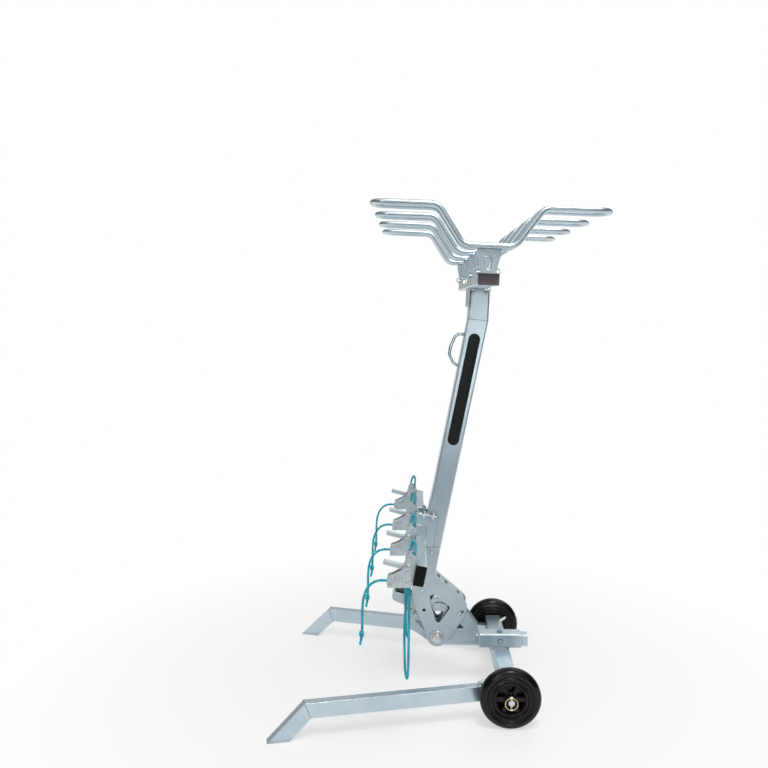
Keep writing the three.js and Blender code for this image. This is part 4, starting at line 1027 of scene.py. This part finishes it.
fitted("bent_handle", handle_shape, rod_zinc, "mast", "zinc_tube", "mast_handle")

strip_black = moulded_plastic("strip_film", (0.007, 0.008, 0.008), gloss=0.5)
strip_length = 0.398
strip_half = 0.0201
strip_middle = 0.891
strip_out = mast_half + 0.0004
strip_lie = Matrix((mast_up, (0, 1, 0), mast_out)).transposed()
round_end = strip_length / 2 - strip_half
strip_outline = [
    (shift + across, up)
    for shift, turn in ((round_end, 0), (-round_end, math.pi))
    for across, up in arc_points(strip_half, turn - math.pi / 2, turn + math.pi / 2, 16)
]
for side_name, side in sides:
    strip = cut_plate([strip_outline], thickness=0.0006, edge=0.0001)
    bmesh.ops.rotate(strip, verts=strip.verts, matrix=strip_lie)
    bmesh.ops.translate(strip, verts=strip.verts, vec=on_mast(strip_middle, 0, side * strip_out))
    fitted(f"strip_{side_name}", strip, strip_black, "mast", "black_plastic")


# The head and the two beams: a folded head plate bolted over the mast's top carries the upper
# beam, and the lower beam crosses the mast's face on two gussets. Plastic caps close their ends.

refinish(plate_zinc, "mast_head")
refinish(tube_zinc, "upper_beam", "lower_beam")
brown_plastic = moulded_plastic("brown_plastic", (0.15, 0.138, 0.155), gloss=0.5)
refinish(brown_plastic, "upper_beam_cap_left", "upper_beam_cap_right")
refinish(black_plastic, "lower_beam_cap_left", "lower_beam_cap_right")
head_plate_under = 0.0003
head_plate_top = 0.0063
head_bolt_right = 0.0255
head_bolt_aside = 0.052
skirt_face = -0.0455
skirt_bolt_up = 0.028
head_nut = dict(flats=0.013, height=0.007, washer=0.009)
head_bolt = dict(flats=0.013, height=0.008, washer=0.009)
for side_name, side in sides:
    aside = side * head_bolt_aside
    for label, right in (("left", -head_bolt_right), ("right", head_bolt_right)):
        under = on_head(right, aside, head_plate_under)
        bright_bolt(f"head_nut_{label}_{side_name}", under, -head_up, **head_nut)
    over = on_head(head_bolt_right, aside, head_plate_top)
    bright_bolt(f"head_bolt_{side_name}", over, head_up, **head_bolt)
    across = on_head(skirt_face, aside, skirt_bolt_up)
    bright_bolt(f"head_clamp_bolt_{side_name}", across, -head_right, **head_bolt)


# Two bolts on each side hold the gusset plate between the mast and the lower beam: a head on a
# washer above the plate and a nut below it.

gusset_top = 0.4342
gusset_under = gusset_top - 0.0052
gusset_aside = 0.0446
gusset_flats = 0.012
for side_name, side in sides:
    for label, out in (("outer", 0.047), ("inner", 0.016)):
        above = on_mast(gusset_top, out, side * gusset_aside)
        below = on_mast(gusset_under, out, side * gusset_aside)
        head = hex_head(above, mast_up, gusset_flats, height=0.0075, washer=0.0066)
        nut = hex_head(below, -mast_up, gusset_flats, height=0.008)
        fitted(f"gusset_bolt_{label}_{side_name}", joined(head, nut), bright_steel,
               "mast", "bright_steel")


# The wheel cradles: closed loops of 17.6 mm galvanised tube, bent to a dip between two shoulders
# and welded in the notches of folded brackets. Half rings at both ends of a bracket take a strap.

wheel_places = [pin.y for pin in cam_pins]
near_far = (("near", -1), ("far", 1))
cradle_tube = 0.0088
cradle_half = 0.0465
cradle_low = 0.118
cradle_middle = -0.018
cradle_rise = 0.1115
cradle_bend = 0.04
cradle_profile = [
    (-0.339, cradle_rise), (-0.1505, cradle_rise), (-0.074, 0), (0.074, 0),
    (0.1505, cradle_rise), (0.339, cradle_rise),
]
strap_radius = 0.014
strap_wire = 0.0017
strap_arc = arc_points(strap_radius, 0, math.pi, 20)
strap_place = 0.0245
strap_up = 0.0439
butt_bead = 0.0011
butt_arc = arc_points(cradle_tube - butt_bead / 2, 0, 2 * math.pi, 16)[:-1]
cradle_weld_half = 0.034
cradle_weld_inset = 0.0025
for number, middle in enumerate(wheel_places, 1):
    near, far = (
        [
            on_head(cradle_middle + x, middle + side * cradle_half, cradle_low + z)
            for x, z in cradle_profile
        ]
        for label, side in near_far
    )
    loop = rounded_path(near + far[::-1], cradle_bend, closed=True, step=6)
    cradle = bent_bar(loop, cradle_tube, closed=True, around=24)
    fitted(f"cradle_loop_{number}", cradle, tube_zinc,
           "mast", "zinc_tube", f"wheel_cradle_{number}")
    refinish(plate_zinc, f"cradle_bracket_{number}")
    for end_name, end in sides:
        strap = [
            on_head(cradle_middle + end * (strap_place + x), middle, strap_up + z)
            for x, z in strap_arc
        ]
        half_ring = bent_bar(strap, strap_wire, around=12)
        fitted(f"strap_ring_{number}_{end_name}", half_ring, bright_steel, "mast", "bright_steel")
    for label, x in (("left", -0.272), ("right", 0.2076)):
        centre = on_head(x, middle - cradle_half, cradle_low + cradle_rise)
        centre.y += butt_bead / 2
        round_weld = [centre + head_up * up + Vector((0, aside, 0)) for up, aside in butt_arc]
        weld_bead(f"butt_weld_{number}_{label}", round_weld, "mast", radius=butt_bead, closed=True)
    for label, side in near_far:
        weld_y = middle + side * (cradle_half - cradle_weld_inset)
        seam = [
            on_head(cradle_middle + end * cradle_weld_half, weld_y, cradle_low - cradle_tube)
            for end in (-1, 1)
        ]
        weld_bead(f"cradle_weld_{number}_{label}", seam, "mast")


# The rope tensioners: two side plates on cross pins over a back plate that is bolted to the lower
# beam, and a toothed cam lever that bites the rope. The ends of the pins stand out of the side
# plates, each in a thin dark ring of painted shade.

tensioner_pins = [
    (-0.003, -0.046), (-0.033, -0.034), (-0.045, -0.037), (-0.054, -0.056), (0.012, 0.028),
]
pin_stand = 0.0022
pin_radius = 0.0034
pin_shade_stand = 0.0004
pin_shade_radius = 0.0047
side_plate_face = 0.015
cam_bolt_face = 0.0151
lower_beam_edge = 0.328
cam_bolt = dict(flats=0.013, height=0.004, washer=0.009)
beam_bolt = dict(flats=0.010, height=0.006, washer=0.007)
beam_bolt_out = 0.037
beam_bolt_shift = 0.0075
tensioner_pale = (0.8, 0.86, 0.88, 1)
tensioner_shaded = (0.64, 0.71, 0.74, 1)
tensioner_zinc = zinc_and_painted_light(
    "tensioner_zinc", tensioner_pale, tensioner_shaded, cloud=30, gloss=0.36, edge=0.0008,
)
for number, pin in enumerate(cam_pins, 1):
    refinish(tensioner_zinc, f"tensioner_frame_{number}", f"cam_lever_{number}")
    # Painted shade: a thin dark ring round each pin end on the side plates.
    pin_ends, pin_shade_rings = [], []
    for label, side in near_far:
        face = pin.y + side * side_plate_face
        for x, z in tensioner_pins:
            at = pin + Vector((x, 0, z))
            end_face, shade_face = (face + side * stand for stand in (pin_stand, pin_shade_stand))
            pin_ends.append(cross_bar(at, face, end_face, pin_radius, 0.0006, steps=20))
            pin_shade_rings.append(cross_bar(at, face, shade_face, pin_shade_radius, 0.0001, steps=20))
    fitted(f"tensioner_pins_{number}", joined(*pin_ends), bright_steel, "mast", "bright_steel")
    fitted(f"pin_shade_rings_{number}", joined(*pin_shade_rings), weld_and_shade_zinc, "mast", "zinc_tube")
    fixing = on_mast(lower_beam_edge, beam_bolt_out, pin.y - beam_bolt_shift)
    bright_bolt(f"beam_bolt_{number}", fixing, -mast_up, **beam_bolt)
    for label, side in near_far:
        at = pin + Vector((0, side * cam_bolt_face, 0))
        bright_bolt(f"cam_bolt_{number}_{label}", at, (0, side, 0), **cam_bolt)
